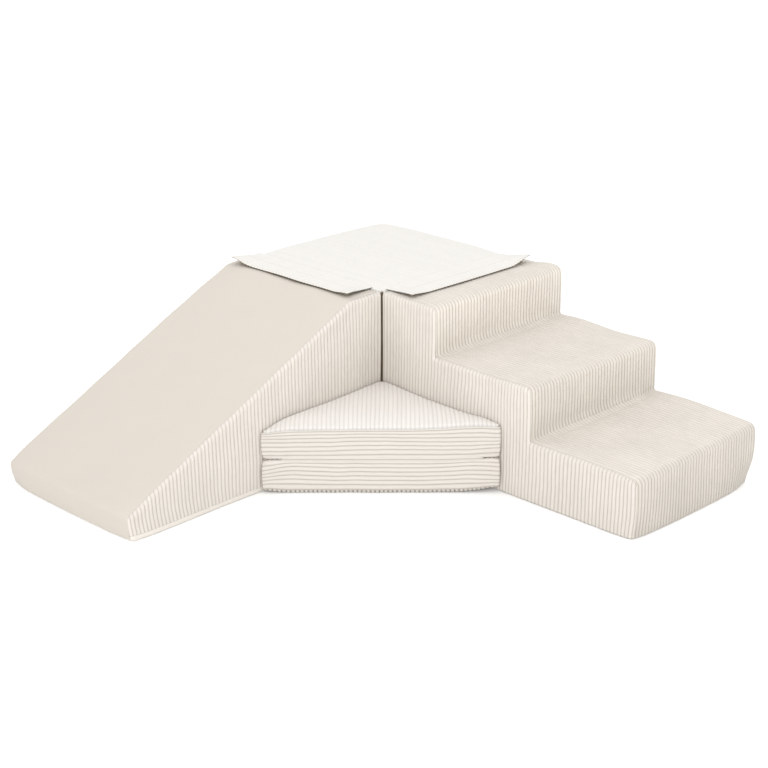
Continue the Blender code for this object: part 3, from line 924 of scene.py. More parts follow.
X, Y, Z = np.array([1.0, 0, 0]), np.array([0, 1.0, 0]), np.array([0, 0, 1.0])
FIT = Matrix.Translation((C, C, 0))
STAIRS = Matrix.Translation((C + SIDE, C, 0)) @ Matrix.Rotation(math.pi / 2, 4, "Z")
TOP = 0.396
BLOCK_TOP = 0.402
REACH = 0.760
sheets = []


def cover(panel, matrix, body, replaces=(), soft=None, shape=None, keep=None, thick=CLOTH):
    if soft is not None:
        panel.P = panel.P + read_soft(soft, panel.P)
    if shape is not None:
        panel.P = panel.P + shape(panel.P)
    if keep is not None:
        panel.P = keep(panel.P)
    obj = sheet_object(panel, matrix, thick)
    dress(obj, panel.look)
    if replaces:
        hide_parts(*replaces)
    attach(obj, body)
    wide = float(panel.q.max() - panel.q.min()) * PITCH
    long = float(panel.along.max() - panel.along.min())
    flat = (round(max(wide, 0.01), 3), round(max(long, 0.01), 3))
    v, f = panel.P, panel.quads
    area = float((np.linalg.norm(np.cross(v[f[:, 2]] - v[f[:, 0]], v[f[:, 3]] - v[f[:, 1]]), axis=1) / 2).sum())
    area = min(max(area, 0.31 * flat[0] * flat[1]), flat[0] * flat[1])
    sheets.append((obj.name, flat, round(area, 4)))
    return obj


def foam_piece(obj, matrix, body, node, look="foam"):
    obj.data.transform(matrix)
    obj.data.shade_smooth()
    dress(obj, look)
    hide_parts(*([node] if isinstance(node, str) else node))
    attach(obj, body)
    return obj


def low_clamp(limit_low=None, back=None, front_y=None):
    def keep(P):
        P = P.copy()
        P[:, 2] = np.maximum(P[:, 2], 0.0)
        if back is not None:
            P[:, 0] = np.minimum(P[:, 0], back)
        return P
    return keep


# --- slide wedge

slide_corners = [(0.15, -0.3), (0.15, TOP), (-0.095, TOP), (-REACH, 0.055), (-REACH, -0.3)]
slide_radii = [0.001, 0.001, 0.036, 0.014, 0.001]
R_SLIDE = 0.0090
SEAM_SLIDE = R_SLIDE * math.pi / 2 - 0.0004

slide_in = Path(*inset([(-GAP, 0.0), (-GAP, TOP), (-0.095, TOP), (-REACH, 0.055), (-REACH, 0)],
                       [0.004, 0.006, 0.030, 0.028, 0.006], FOAM_IN), closed=True, turn=12).p[:-1]
slide_foam = prism_form("slide_foam", slide_in, FOAM_IN, SIDE - FOAM_IN, ((0, 0, 0), X, Z, Y), 0.0095)
slide_rest, slide_move = swell(slide_foam, 3.0, 0.0040)
slide_soft = Softness(slide_foam, slide_rest, slide_move)


def soft_floor(move_at, flat_low=0.0):
    """No give where the module stands on the floor, and little where it meets the block."""
    def soft(points):
        out = move_at(points)
        near_floor = step(points[:, 2], 0.0, 0.05)
        out[:, 2] *= near_floor
        out[:, 0] *= 1 - 0.85 * step(points[:, 0], -0.03, -0.004)
        return out
    return soft


slide_give = soft_floor(slide_soft)


def slide_shape(P):
    """Pulls at the wedge's corners, and the slightly uneven long edges."""
    out = np.zeros_like(P)
    side = np.sign(P[:, 1] - SIDE / 2)
    k = bump_at(P, (-REACH, 0, 0.0), (0.03, 0.03, 0.04)) + bump_at(P, (-REACH, SIDE, 0.0), (0.03, 0.03, 0.04))
    out[:, 0] += 0.004 * k
    out[:, 1] += -side * 0.003 * k
    k = bump_at(P, (-REACH, 0, 0.055), (0.05, 0.02, 0.02)) + bump_at(P, (-REACH, SIDE, 0.055), (0.05, 0.02, 0.02))
    out[:, 2] += -0.0035 * k
    out[:, 0] += 0.002 * k
    out[:, 1] += 0.0100 * np.clip(P[:, 1] / SIDE, 0, 1)
    out[:, 0] -= 0.0075 * np.clip(-P[:, 0] / REACH, 0, 1)
    middle = 1 - (2 * np.clip(P[:, 1] / SIDE, 0, 1) - 1) ** 2
    nose = step(-P[:, 0], 0.66, 0.755)
    out[:, 0] -= 0.0055 * nose * middle * (1 - step(P[:, 2], 0.01, 0.09))
    out[:, 0] -= 0.0022 * nose * step(P[:, 1], 0.34, SIDE) * step(P[:, 2], 0.022, 0.055)
    out[:, 0] += 0.0060 * nose * step(P[:, 1], 0.38, SIDE) * (1 - step(P[:, 2], 0.0, 0.030))
    out[:, 1] -= 0.0090 * step(-P[:, 0], 0.41, 0.74) * (1 - step(P[:, 2], 0.0, 0.050)) * (1 - step(P[:, 1], 0.0, 0.060))
    out[:, 2] -= 0.0050 * bump_at(P, (-0.115, SIDE, TOP), (0.042, 0.05, 0.05))
    wob = waves(11, 0.11)(P)
    out[:, 2] += 0.0006 * wob * step(P[:, 2], 0.03, 0.10)
    out[:, 1] += 0.0007 * waves(12, 0.09)(P) * step(P[:, 2], 0.01, 0.05)
    return out


def slide_lean(a, b):
    return (0.004 + 0.026 * (1 - step(a, -0.70, -0.20))) * b + 0.0005 * np.sin(a * 21 + b * 13) * np.sin(b * 17 + 1.0)


rows = np.concatenate([[0.0124, 0.0136, 0.0154, 0.0174], np.arange(0.0200, 0.4030, 0.0040)])
a_end = -0.0004
END_R = 0.0015
R_FAR = 0.0055
SEAM_FAR = R_FAR * math.pi / 2 - 0.0003
near = face("slide_side_panel_near_cover", ((0, 0, 0), X, Z, -Y), slide_corners, slide_radii, R_SLIDE, SEAM_SLIDE,
            (-REACH + R_SLIDE - SEAM_SLIDE - 0.001, a_end - END_R + END_R * math.pi / 2 + 0.0050), rows, "cream", FINE,
            lean=slide_lean, end=(a_end, END_R))
# painted seam shade on the slide's near side only above the base band
near.edge_dark = 0.16 * step(near.P[:, 2], 0.0135, 0.0200)
cover(near, FIT, "slide_module", ["slide_side_panel_near"], slide_give, slide_shape, low_clamp(back=-0.0003))

far = face("slide_side_panel_far_cover", ((0, SIDE, 0), X, Z, Y), slide_corners, slide_radii, R_FAR, SEAM_FAR,
           (-REACH + R_FAR - SEAM_FAR - 0.001, -GAP - 0.0025 + 0.0025 * math.pi / 2), rows, "cream", COARSE,
           end=(-GAP, 0.0025), slot=((-0.36, 0.045), (0.25, 0.012)))
cover(far, FIT, "slide_module", ["slide_side_panel_far"], slide_give, slide_shape, low_clamp())

ramp_path = Path([(-GAP - 0.0002, 0.386), (-GAP - 0.0002, TOP), (-0.095, TOP), (-REACH, 0.055), (-REACH, 0.0006),
                  (-REACH + 0.009, 0.0006)], [0, 0.004, 0.036, 0.014, 0.0045, 0])
edge_c = R_SLIDE - 0.0002
edge_f = R_FAR - 0.0002
lateral = np.concatenate([edge_c + np.array([0, 0.0012, 0.0028, 0.005, 0.009]),
                          np.arange(edge_c + 0.017, SIDE - edge_f - 0.014, 0.009),
                          SIDE - edge_f - np.array([0.009, 0.005, 0.0028, 0.0012, 0])])
ramp = strip("slide_ramp_panel_cover", ((0, 0, 0), X, Z, Y), ramp_path, ramp_path.stations(0, ramp_path.length, 0.009),
             lateral, SIDE, (R_SLIDE, R_FAR), "leatherette", ribbed=0.0, dip=0.0006)
ramp.extra = (0.0005 * waves(21, 0.16)(ramp.P) + 0.0003 * waves(22, 0.05)(ramp.P)) * step(ramp.edge, 0.0, 0.02)
crease = ramp_path.s_of((-REACH, 0.028))
ramp.extra -= 0.0006 * np.exp(-((ramp.S - crease) / 0.004) ** 2)
cover(ramp, FIT, "slide_module", ["slide_ramp_panel"], slide_give, slide_shape, low_clamp())

base = face("slide_base_panel_cover", ((0, 0, 0), X, -Y, -Z), [(-0.7600, -SIDE), (-0.0045, -SIDE), (-0.0045, 0), (-0.7600, 0)],
            [0.0050, 0.003, 0.003, 0.0088], 0.0040,
            lambda g: 0.0030 + 0.0030 * step(-g[:, 0], 0.5, 0.9) + (0.0117 - 0.0030 * step(-g[:, 0], 0.5, 0.9)) * step(np.abs(g[:, 1]), 0.0, 0.07),
            (-0.7757, 0.0115), np.concatenate([[-SIDE - 0.0120, -SIDE - 0.0095, -SIDE - 0.007, -SIDE - 0.0045, -SIDE - 0.002, -SIDE + 0.0005, -SIDE + 0.003],
                                              np.arange(-SIDE + 0.010, -0.008, 0.010),
                                              [-0.003, -0.0005, 0.002, 0.0045, 0.007, 0.0095, 0.0120]]),
            "base", (0.0, 0.25, 0.5, 0.75), scallop=0.0, ribbed=0.0)
# little painted seam shade on the base
base.edge_dark = np.full(len(base.P), 0.04)
cover(base, FIT, "slide_module", ["slide_base_panel"], slide_give, slide_shape, low_clamp())


def back_panel(name, matrix, body, node, soft, shape):
    made = face(name, ((-GAP, 0, 0), Y, Z, X), [(0.002, 0.0025), (SIDE - 0.002, 0.0025), (SIDE - 0.002, 0.3865), (0.002, 0.3865)],
                [0.004] * 4, 0.0022, 0.0030, (0.0, SIDE), np.concatenate([[0.0005, 0.003], np.arange(0.008, 0.384, 0.008), [0.3865, 0.3885]]),
                "cream", COARSE)
    return cover(made, matrix, body, [node], soft, shape, low_clamp(back=-GAP))


back_panel("slide_back_panel_cover", FIT, "slide_module", "slide_back_panel", None, slide_shape)
foam = slide_foam
set_coords(foam, slide_rest + slide_move * 0.6 * step(slide_rest[:, 2:3], 0.0, 0.05))
foam_piece(foam, FIT, "slide_module", "slide_foam_core")

# --- steps

stairs_corners = [(0.15, -0.3), (0.15, TOP), (-0.175, TOP), (-0.175, 0.273), (-0.470, 0.273), (-0.470, 0.144),
                  (-REACH, 0.144), (-REACH, -0.3)]
stairs_radii = [0.001, 0.001, 0.016, 0.006, 0.016, 0.006, 0.016, 0.001]
R_BACK = 0.0080             # rounding along the far side
SEAM_BACK = 0.42 * R_BACK * math.pi / 2
R_STAIRS = 0.0100
QUARTER = R_STAIRS * math.pi / 2
SEAM_STAIRS = 0.80 * QUARTER
stairs_in = Path(*inset([(-GAP, 0), (-GAP, TOP), (-0.175, TOP), (-0.175, 0.273), (-0.470, 0.273), (-0.470, 0.144),
                         (-REACH, 0.144), (-REACH, 0)], [0.004, 0.006, 0.016, 0.009, 0.016, 0.009, 0.016, 0.006], FOAM_IN),
                 closed=True, turn=12).p[:-1]
stairs_form = prism_form("stairs_form", stairs_in, FOAM_IN, SIDE - FOAM_IN, ((0, 0, 0), X, Z, Y), 0.0100)
stairs_rest, stairs_move = swell(stairs_form, 3.0, 0.0042)
stairs_soft = Softness(stairs_form, stairs_rest, stairs_move)
stairs_give = soft_floor(stairs_soft)


def stairs_shape(P):
    """The lower step's front leans in at its foot and its corners are pulled round; the treads are a little uneven."""
    out = np.zeros_like(P)
    x, y, z = P.T
    across = 1 - np.clip(y / SIDE, 0, 1)
    out[:, 1] -= 0.0100 * across
    out[:, 0] -= 0.0080 * np.clip(-x / REACH, 0, 1)
    out[:, 0] += np.clip(y / SIDE, 0, 1) * (0.0112 * np.exp(-((x + 0.470) / 0.09) ** 2) + 0.0078 * np.exp(-((x + 0.175) / 0.09) ** 2))
    k = bump_at(P, (-REACH, SIDE, 0.144), (0.030, 0.030, 0.034))
    out[:, 0] += 0.0050 * k
    out[:, 1] -= 0.0030 * k
    out[:, 2] -= 0.0045 * k
    back = 1 - step(-x, 0.49, 0.74)
    out[:, 2] += across * (0.0030 * step(z, 0.05, 0.14) + 0.0045 * back * step(z, 0.05, 0.14) * (1 - step(z, 0.16, 0.20))
                           + 0.0030 * step(z, 0.32, 0.39)) * (1 - (1 - step(-x, 0.09, 0.165)) * step(z, 0.28, 0.34))
    middle = 1 - (2 * np.clip(y / SIDE, 0, 1) - 1) ** 2
    out[:, 0] -= 0.0045 * middle * step(-x, 0.66, 0.755) * (1 - step(z, 0.02, 0.12))
    front = step(-x, 0.60, 0.76)
    foot = 1 - step(z, 0.0, 0.11)
    near_side, far_side = step(y, 0.30, SIDE), 1 - step(y, 0.0, 0.15)
    out[:, 0] += front * foot ** 1.5 * (0.001 + 0.001 * near_side + 0.003 * far_side)
    k = bump_at(P, (-REACH, SIDE, 0.0), (0.024, 0.024, 0.026))
    out[:, 0] += 0.0055 * k
    out[:, 1] -= 0.0045 * k
    k = bump_at(P, (-REACH, 0, 0.0), (0.026, 0.032, 0.034))
    out[:, 0] += 0.009 * k
    out[:, 1] += 0.011 * k
    for cx, cz, size in ((-REACH, 0.144, 1.0), (-0.470, 0.273, 0.8), (-0.175, TOP, 0.8)):
        for cy, way in ((SIDE, -1), (0, 1)):
            k = bump_at(P, (cx, cy, cz), (0.020, 0.020, 0.020)) * size
            out[:, 0] += 0.0018 * k
            out[:, 1] += way * 0.0012 * k
            out[:, 2] -= 0.0024 * k
    for cx, cz, wide, lift in ((-0.60, 0.144, 0.09, 0.0065), (-0.24, 0.273, 0.06, 0.0060), (-0.135, TOP, 0.028, 0.0050)):
        out[:, 2] += lift * bump_at(P, (cx, 0.0, cz), (wide, 0.075, 0.035))      # the foam stands up along the far edges
    out[:, 2] += 0.0010 * waves(31, 0.12)(P) * step(z, 0.06, 0.14)
    out[:, 0] += 0.0012 * waves(32, 0.10)(P) * step(z, 0.01, 0.06) * step(-x, 0.12, 0.17)
    out[:, 1] += 0.0009 * waves(33, 0.10)(P) * step(z, 0.01, 0.05)
    return out


def stairs_lean(a, b):
    return 0.006 * b + 0.0003 * np.sin(a * 24 + b * 11) * np.sin(b * 19 + 2.0)


foot_r = 0.005
rows = np.concatenate([[foot_r - foot_r * 1.40, 0.0, 0.002], np.arange(0.005, 0.4060, 0.0040)])
near = face("stairs_side_panel_near_cover", ((0, SIDE, 0), X, Z, Y), stairs_corners, stairs_radii, R_STAIRS, SEAM_STAIRS,
            (-REACH + R_STAIRS - SEAM_STAIRS - 0.001, a_end - END_R + END_R * math.pi / 2 + 0.0050), rows, "cream", FINE,
            lean=stairs_lean, low=(0.0, foot_r), end=(a_end, END_R), phase=0.3)
cover(near, STAIRS, "stairs_module", ["stairs_side_panel_near"], stairs_give, stairs_shape,
      low_clamp(back=-0.0004))
far = face("stairs_side_panel_far_cover", ((0, 0, 0), X, Z, -Y), stairs_corners, stairs_radii, R_BACK, SEAM_BACK,
           (-REACH + R_BACK - SEAM_BACK - 0.001, -GAP - 0.0025 + 0.0025 * math.pi / 2), rows, "cream", COARSE,
           low=(0.0, foot_r), end=(-GAP, 0.0025), slot=((-0.38, 0.045), (0.28, 0.012)))
cover(far, STAIRS, "stairs_module", ["stairs_side_panel_far"], stairs_give, stairs_shape, low_clamp())

tread_path = Path([(-GAP - 0.0002, 0.386), (-GAP - 0.0002, TOP), (-0.175, TOP), (-0.175, 0.273), (-0.470, 0.273),
                   (-0.470, 0.144), (-REACH, 0.144), (-REACH, 0.0003), (-REACH + 0.008, 0.0003)],
                  [0, 0.004, 0.016, 0.006, 0.016, 0.006, 0.016, 0.005, 0])
over_edge = QUARTER - SEAM_STAIRS - 0.0004
over_back = R_BACK * math.pi / 2 - SEAM_BACK - 0.0004
lateral = columns((R_BACK - over_back) / PITCH, (SIDE - R_STAIRS + over_edge) / PITCH, COARSE) * PITCH
hollows = [tread_path.s_of((-0.175 - 0.0026, 0.273 + 0.0026)), tread_path.s_of((-0.470 - 0.0026, 0.144 + 0.0026))]
creases = [s + 0.021 for s in hollows]
stations = tread_path.stations(0, tread_path.length, 0.0125)
stations = np.unique(np.round(np.concatenate([stations] + [c + np.arange(-3, 4) * 0.0011 for c in creases]
                                             + [h + np.arange(-8, 8) * 0.0028 for h in hollows]), 6))
stations = stations[np.r_[True, np.diff(stations) > 0.0004]]
band = strip("stairs_tread_band_cover", ((0, 0, 0), X, Z, Y), tread_path, stations, lateral, SIDE, (R_BACK, R_STAIRS),
             "band", ribs="lateral")
inward = step(band.L, 0.020, 0.110) * (1 - 0.75 * step(band.L, 0.300, 0.438))
for h, c in zip(hollows, creases):       # the band doesn't reach into the hollow of the step, but bridges it
    band.extra += 0.0065 * np.exp(-((band.S - h) / 0.0115) ** 2) * inward
    band.extra -= 0.0017 * np.exp(-((band.S - c) / 0.0016) ** 2) * (0.75 + 0.25 * np.sin(band.L * 40 + c * 90)) * (0.25 + 0.75 * inward)
cover(band, STAIRS, "stairs_module", ["stairs_tread_band"],
      stairs_give, stairs_shape, low_clamp())

base = face("stairs_base_panel_cover", ((0, 0, 0), X, -Y, -Z), [(-0.752, -SIDE + 0.004), (-0.0045, -SIDE + 0.004), (-0.0045, -0.004), (-0.752, -0.004)],
            [0.020, 0.003, 0.003, 0.020], 0.0030, 0.0035, (-0.7560, 0.0), np.arange(-SIDE, 0.0005, 0.010),
            "base", (0.0, 0.5), scallop=0.0, ribbed=0.0)
cover(base, STAIRS, "stairs_module", ["stairs_base_panel"], None, stairs_shape, low_clamp())
back_panel("stairs_back_panel_cover", STAIRS, "stairs_module", "stairs_back_panel", None, stairs_shape)

bpy.data.objects.remove(stairs_form, do_unlink=True)
for name, low, high, reach in (("bottom", FOAM_IN, 0.144 - FOAM_IN, 0.760), ("middle", 0.144 - FOAM_IN + 0.0004, 0.273 - FOAM_IN, 0.470),
                               ("top", 0.273 - FOAM_IN + 0.0004, TOP - FOAM_IN, 0.175)):
    slab = box_form("stairs_foam_" + name + "_slab", (-reach + FOAM_IN, FOAM_IN, low), (-GAP - FOAM_IN, SIDE - FOAM_IN, high), 0.011,
                    0.010 if name != "bottom" else 0.008)
    pts = coords(slab)
    give = stairs_give(pts)
    give[:, 2] *= step(pts[:, 2] - low, 0.3 * (high - low), high - low)
    pts = pts + 0.6 * give
    shape_move = stairs_shape(pts)
    shape_move[:, 2] *= 0.5
    set_coords(slab, pts + shape_move * 0.9)
    foam_piece(slab, STAIRS, "stairs_module", "stairs_foam_" + name)

# --- platform block

block_corners, block_radii = [(0, 0), (SIDE, 0), (SIDE, SIDE), (0, SIDE)], [0.022, 0.026, 0.030, 0.026]
R_BLOCK = 0.0100
SEAM_BLOCK = 0.5 * R_BLOCK * math.pi / 2
block_in = Path(*inset(block_corners, block_radii, FOAM_IN), closed=True, turn=12).p[:-1]
block_foam = prism_form("block_foam", block_in, FOAM_IN, BLOCK_TOP - FOAM_IN, ((0, 0, 0), X, Y, Z), 0.0100)
block_rest, block_move = swell(block_foam, 2.5, 0.0030)
block_soft = Softness(block_foam, block_rest, block_move)


def block_give(points):
    out = block_soft(points)
    out[:, 2] *= step(points[:, 2], 0.0, 0.05) * 0.45
    for k in (0, 1):                       # the two sides that meet the modules stay flat
        out[:, k] *= step(points[:, k], 0.004, 0.06)
    return out


def block_shape(P):
    out = np.zeros_like(P)
    out[:, 2] -= 0.0045 * bump_at(P, (0, 0, BLOCK_TOP), (0.055, 0.055, 0.04))
    out[:, 2] += 0.0006 * waves(41, 0.13)(P) * step(P[:, 2], 0.2, 0.4)
    for cx, cy in ((SIDE, SIDE), (SIDE, 0), (0, SIDE)):
        k = bump_at(P, (cx, cy, BLOCK_TOP), (0.05, 0.05, 0.03))
        out[:, 2] -= 0.0035 * k
        out[:, 0] -= np.sign(cx - 0.1) * 0.002 * k
        out[:, 1] -= np.sign(cy - 0.1) * 0.002 * k
    return out


def block_keep(P):
    P = P.copy()
    P[:, 2] = np.maximum(P[:, 2], 0.0)
    P[:, 0] = np.maximum(P[:, 0], 0.0)
    P[:, 1] = np.maximum(P[:, 1], 0.0)
    return P


top = face("block_top_panel_cover", ((0, 0, BLOCK_TOP), X, Y, Z), block_corners, block_radii, R_BLOCK, SEAM_BLOCK,
           (R_BLOCK - SEAM_BLOCK - 0.001, SIDE - R_BLOCK + SEAM_BLOCK + 0.001),
           np.concatenate([[0.0012, 0.0036], np.arange(0.007, SIDE - 0.006, 0.0060), [SIDE - 0.0036, SIDE - 0.0012]]), "ivory", COARSE)
# painted shade: the grooves' colour shows even less on the block's top
top.paler = 0.86
cover(top, FIT, "block", ["block_top_panel"], block_give, block_shape, block_keep)

block_path = Path(block_corners, block_radii, closed=True)
half = block_path.length
s_b = block_path.s_of((SIDE - 0.0076, 0.0076))
s_d = block_path.s_of((0.0076, SIDE - 0.0076))
up = SEAM_BLOCK - 0.0006
lateral = np.concatenate([[foot_r - foot_r * 1.40, 0.0, 0.002, 0.005], np.arange(0.013, BLOCK_TOP - R_BLOCK - 0.004, 0.0085),
                          BLOCK_TOP - R_BLOCK + np.array([0, 0.0025, 0.005, up])])
lateral_zip = np.unique(np.round(np.concatenate([lateral, [0.030, 0.033, 0.036, 0.054, 0.057, 0.060]]), 5))
for part, s0, s1, look_phases, zipped in (("outer", s_b, s_d, COARSE, True), ("inner", s_d, s_b + block_path.length, COARSE, False)):
    s = columns(s0 / PITCH, s1 / PITCH, look_phases) * PITCH
    slot = None
    if zipped:
        mid = block_path.s_of((SIDE, SIDE / 2))
        slot = ((mid, 0.045), (0.18, 0.012))
    piece = strip("block_side_band_" + part, ((0, 0, 0), X, Y, Z), block_path, s, lateral_zip if zipped else lateral, BLOCK_TOP,
                  (foot_r, R_BLOCK), "ivory", ribs="path", slot=slot)
    if not zipped:                          # painted shade: a dark brown strip on the band in the corner between the modules, where the gap's shade falls
        piece.shade = step(np.hypot(piece.P[:, 0] - 0.0064, piece.P[:, 1] - 0.0064), 0.0022, 0.0048)
    cover(piece, FIT, "block", ["block_side_band"], block_give, block_shape, block_keep)

base = face("block_base_panel_cover", ((0, 0, 0), X, -Y, -Z), [(0.004, -SIDE + 0.004), (SIDE - 0.004, -SIDE + 0.004), (SIDE - 0.004, -0.004), (0.004, -0.004)],
            [0.020] * 4, 0.0030, 0.0035, (0.0, SIDE), np.arange(-SIDE, 0.0005, 0.010), "base", (0.0, 0.5), scallop=0.0, ribbed=0.0)
cover(base, FIT, "block", ["block_base_panel"], None, None, low_clamp())
set_coords(block_foam, block_rest + 0.6 * block_give(block_rest))
foam_piece(block_foam, FIT, "block", "block_foam_core")

# --- folding mat

EA, EB = np.array([1.0, -1.0, 0]) / math.sqrt(2), np.array([1.0, 1.0, 0]) / math.sqrt(2)
MAT_FOLD = 0.0840
mat_corners = [(-0.0026, -0.0026), (-0.3979, -0.0026), (-0.0026, -0.3979)]
mat_radii = [0.018, 0.0055, 0.0055]
R_MAT = 0.0074
R_FOLD = 0.0013             # rounding on the sides that lie against each other
FRONT_B = -(0.3965 + 0.004) / math.sqrt(2)
mat_path = Path(mat_corners, mat_radii, closed=True)
QUARTER_MAT = R_MAT * math.pi / 2


def in_ab(points, ea, eb):
    pts = [(float(np.dot((*p, 0), ea)), float(np.dot((*p, 0), eb))) for p in points]
    area = sum(pts[i - 1][0] * pts[i][1] - pts[i][0] * pts[i - 1][1] for i in range(len(pts)))
    return pts if area > 0 else [pts[0], pts[2], pts[1]]


tips = [(-0.380, -0.008), (-0.008, -0.380)]


def gauss(x):
    return np.exp(-x ** 2)


def fold_lift(P):
    """The layers lie a little higher at the right tip."""
    return 0.0030 * step(P[:, :3] @ EA, 0.12, 0.26) * step(-(P @ EB), 0.20, 0.27)


def mat_shape(z0, z1, seed):
    def shape(P):
        out = np.zeros_like(P)
        mid = (z0 + z1) / 2
        side = np.sign(P[:, 2] - mid)
        for i, (tx, ty) in enumerate(tips):
            k = bump_at(P[:, :2], (tx, ty), (0.022, 0.022))
            squeeze = 0.10 + 0.03 * i
            if z0 > 0.05:
                drop = 0.0040 * bump_at(P[:, :2], (tx, ty), (0.020, 0.020)) if i == 0 else -0.0040 * bump_at(P[:, :2], (tx, ty), (0.050, 0.050))
                out[:, 2] -= drop * step(P[:, 2], mid, z1)
            else:
                out[:, 2] += (0.0008, 0.0068)[i] * bump_at(P[:, :2], (tx, ty), (0.030 + 0.032 * i,) * 2) * (1 - step(P[:, 2], z0, mid))
            outer = step(P[:, 2], mid, z1) if z0 > 0.05 else 1 - step(P[:, 2], z0, mid)
            out[:, 2] -= (P[:, 2] - mid) * squeeze * k * outer
            k2 = bump_at(P[:, :2], (tx, ty), (0.030, 0.030))
            draw = 0.0020 * np.abs(P[:, 2] - mid) / (z1 - mid) + 0.0042 * np.exp(-((P[:, 2] - MAT_FOLD) / 0.010) ** 2)
            out[:, 0] += (draw - 0.0048) * k2 if i == 0 else 0.2 * draw * k2
            out[:, 1] += draw * k2 * (0.2 if i == 0 else 1.0)
            meet = np.exp(-((P[:, 2] - (z1 if z0 < 0.05 else z0)) / 0.006) ** 2)
            out[:, 2] += (0.0006 if z0 < 0.05 else -0.0006) * meet * k2
        back = bump_at(P[:, :2], (-0.004, -0.004), (0.09, 0.09)) * step(P[:, 2], mid, z1)
        out[:, 2] += (0.0085 if z0 > 0.05 else 0.0) * back
        wob = waves(seed, 0.075)(P)
        near_front = step(-(P @ EB), 0.18, 0.27)
        out += (-EB)[None] * ((0.0008 * wob - 0.0010) * near_front)[:, None]
        if z0 > 0.05:                          # the top sinks towards its front edge
            a = P @ EA
            sink = 0.0062 - 0.0017 * step(a, -0.16, 0.0) - 0.0045 * step(a, 0.0, 0.22)
            out[:, 2] -= sink * step(-(P @ EB), 0.205, 0.283) * step(P[:, 2], mid, z1)
        out[:, 2] += 0.0007 * waves(seed + 1, 0.10)(P) * (side > 0)
        return out
    return shape


def mat_keep(z0, z1, touch_low, touch_high):
    def keep(P):
        P = P.copy()
        P[:, 2] = np.clip(P[:, 2], z0 + touch_low, z1 + touch_high)
        P[:, 2] += fold_lift(P) * (1.0 if z0 > 0.05 else step(P[:, 2], z0 + 0.02, z1))
        P[:, 0] = np.minimum(P[:, 0], -0.0022)
        P[:, 1] = np.minimum(P[:, 1], -0.0022)
        P += EB[None] * np.maximum(-0.28262 - P @ EB, 0)[:, None]       # not past the fold's axis
        return P
    return keep


def mat_warp(seed, height, upper):
    def warp(S, L):
        p, _ = mat_path.at(S)
        out = 0.0006 * waves(seed, 0.05)(np.stack([p[:, 0], p[:, 1], L], -1))
        a = (p[:, 0] - p[:, 1]) / math.sqrt(2)
        at_front = step(-(p[:, 0] + p[:, 1]) / math.sqrt(2), 0.20, 0.27)
        if upper:                       # cut a little askew: the wales climb towards the right
            low_u = -0.0019 + 0.0051 * step(a, -0.30, 0.04) + 0.0006 * step(a, 0.0, 0.28)
            top_u = 0.0016 + 0.0011 * step(a, -0.28, 0.0) - 0.0027 * step(a, 0.05, 0.28)
            out += at_front * (low_u + (top_u - low_u) * np.clip(L / height, 0, 1))
        else:                           # and sewn in with two slight waves
            out += at_front * (0.0018 + 0.0036 * (gauss((a - 0.20) / 0.065) + gauss((a + 0.20) / 0.065))
                               - 0.0055 * gauss((a + 0.285) / 0.035) - 0.0015 * gauss((a - 0.285) / 0.030))
        for i, (tx, ty) in enumerate(tips):
            d = np.hypot(p[:, 0] - tx, p[:, 1] - ty)
            k = np.exp(-(d / 0.030) ** 2)
            out += k * (L - height * 0.45) * -0.10 + k * (0.0018 - 0.0030 * i) * np.sin(L * 60 + seed)
        return out
    return warp


mat_in = [tuple(p) for p in Path(*inset(mat_corners, mat_radii, FOAM_IN), closed=True, turn=12).p[:-1]]
mat_pad = prism_form("mat_lower_pad", mat_in, FOAM_IN, 0.083 - FOAM_IN, ((0, 0, 0), X, Y, Z), 0.0070)
mat_rest, mat_move = swell(mat_pad, 3.0, 0.0038)
mat_soft = Softness(mat_pad, mat_rest, mat_move)

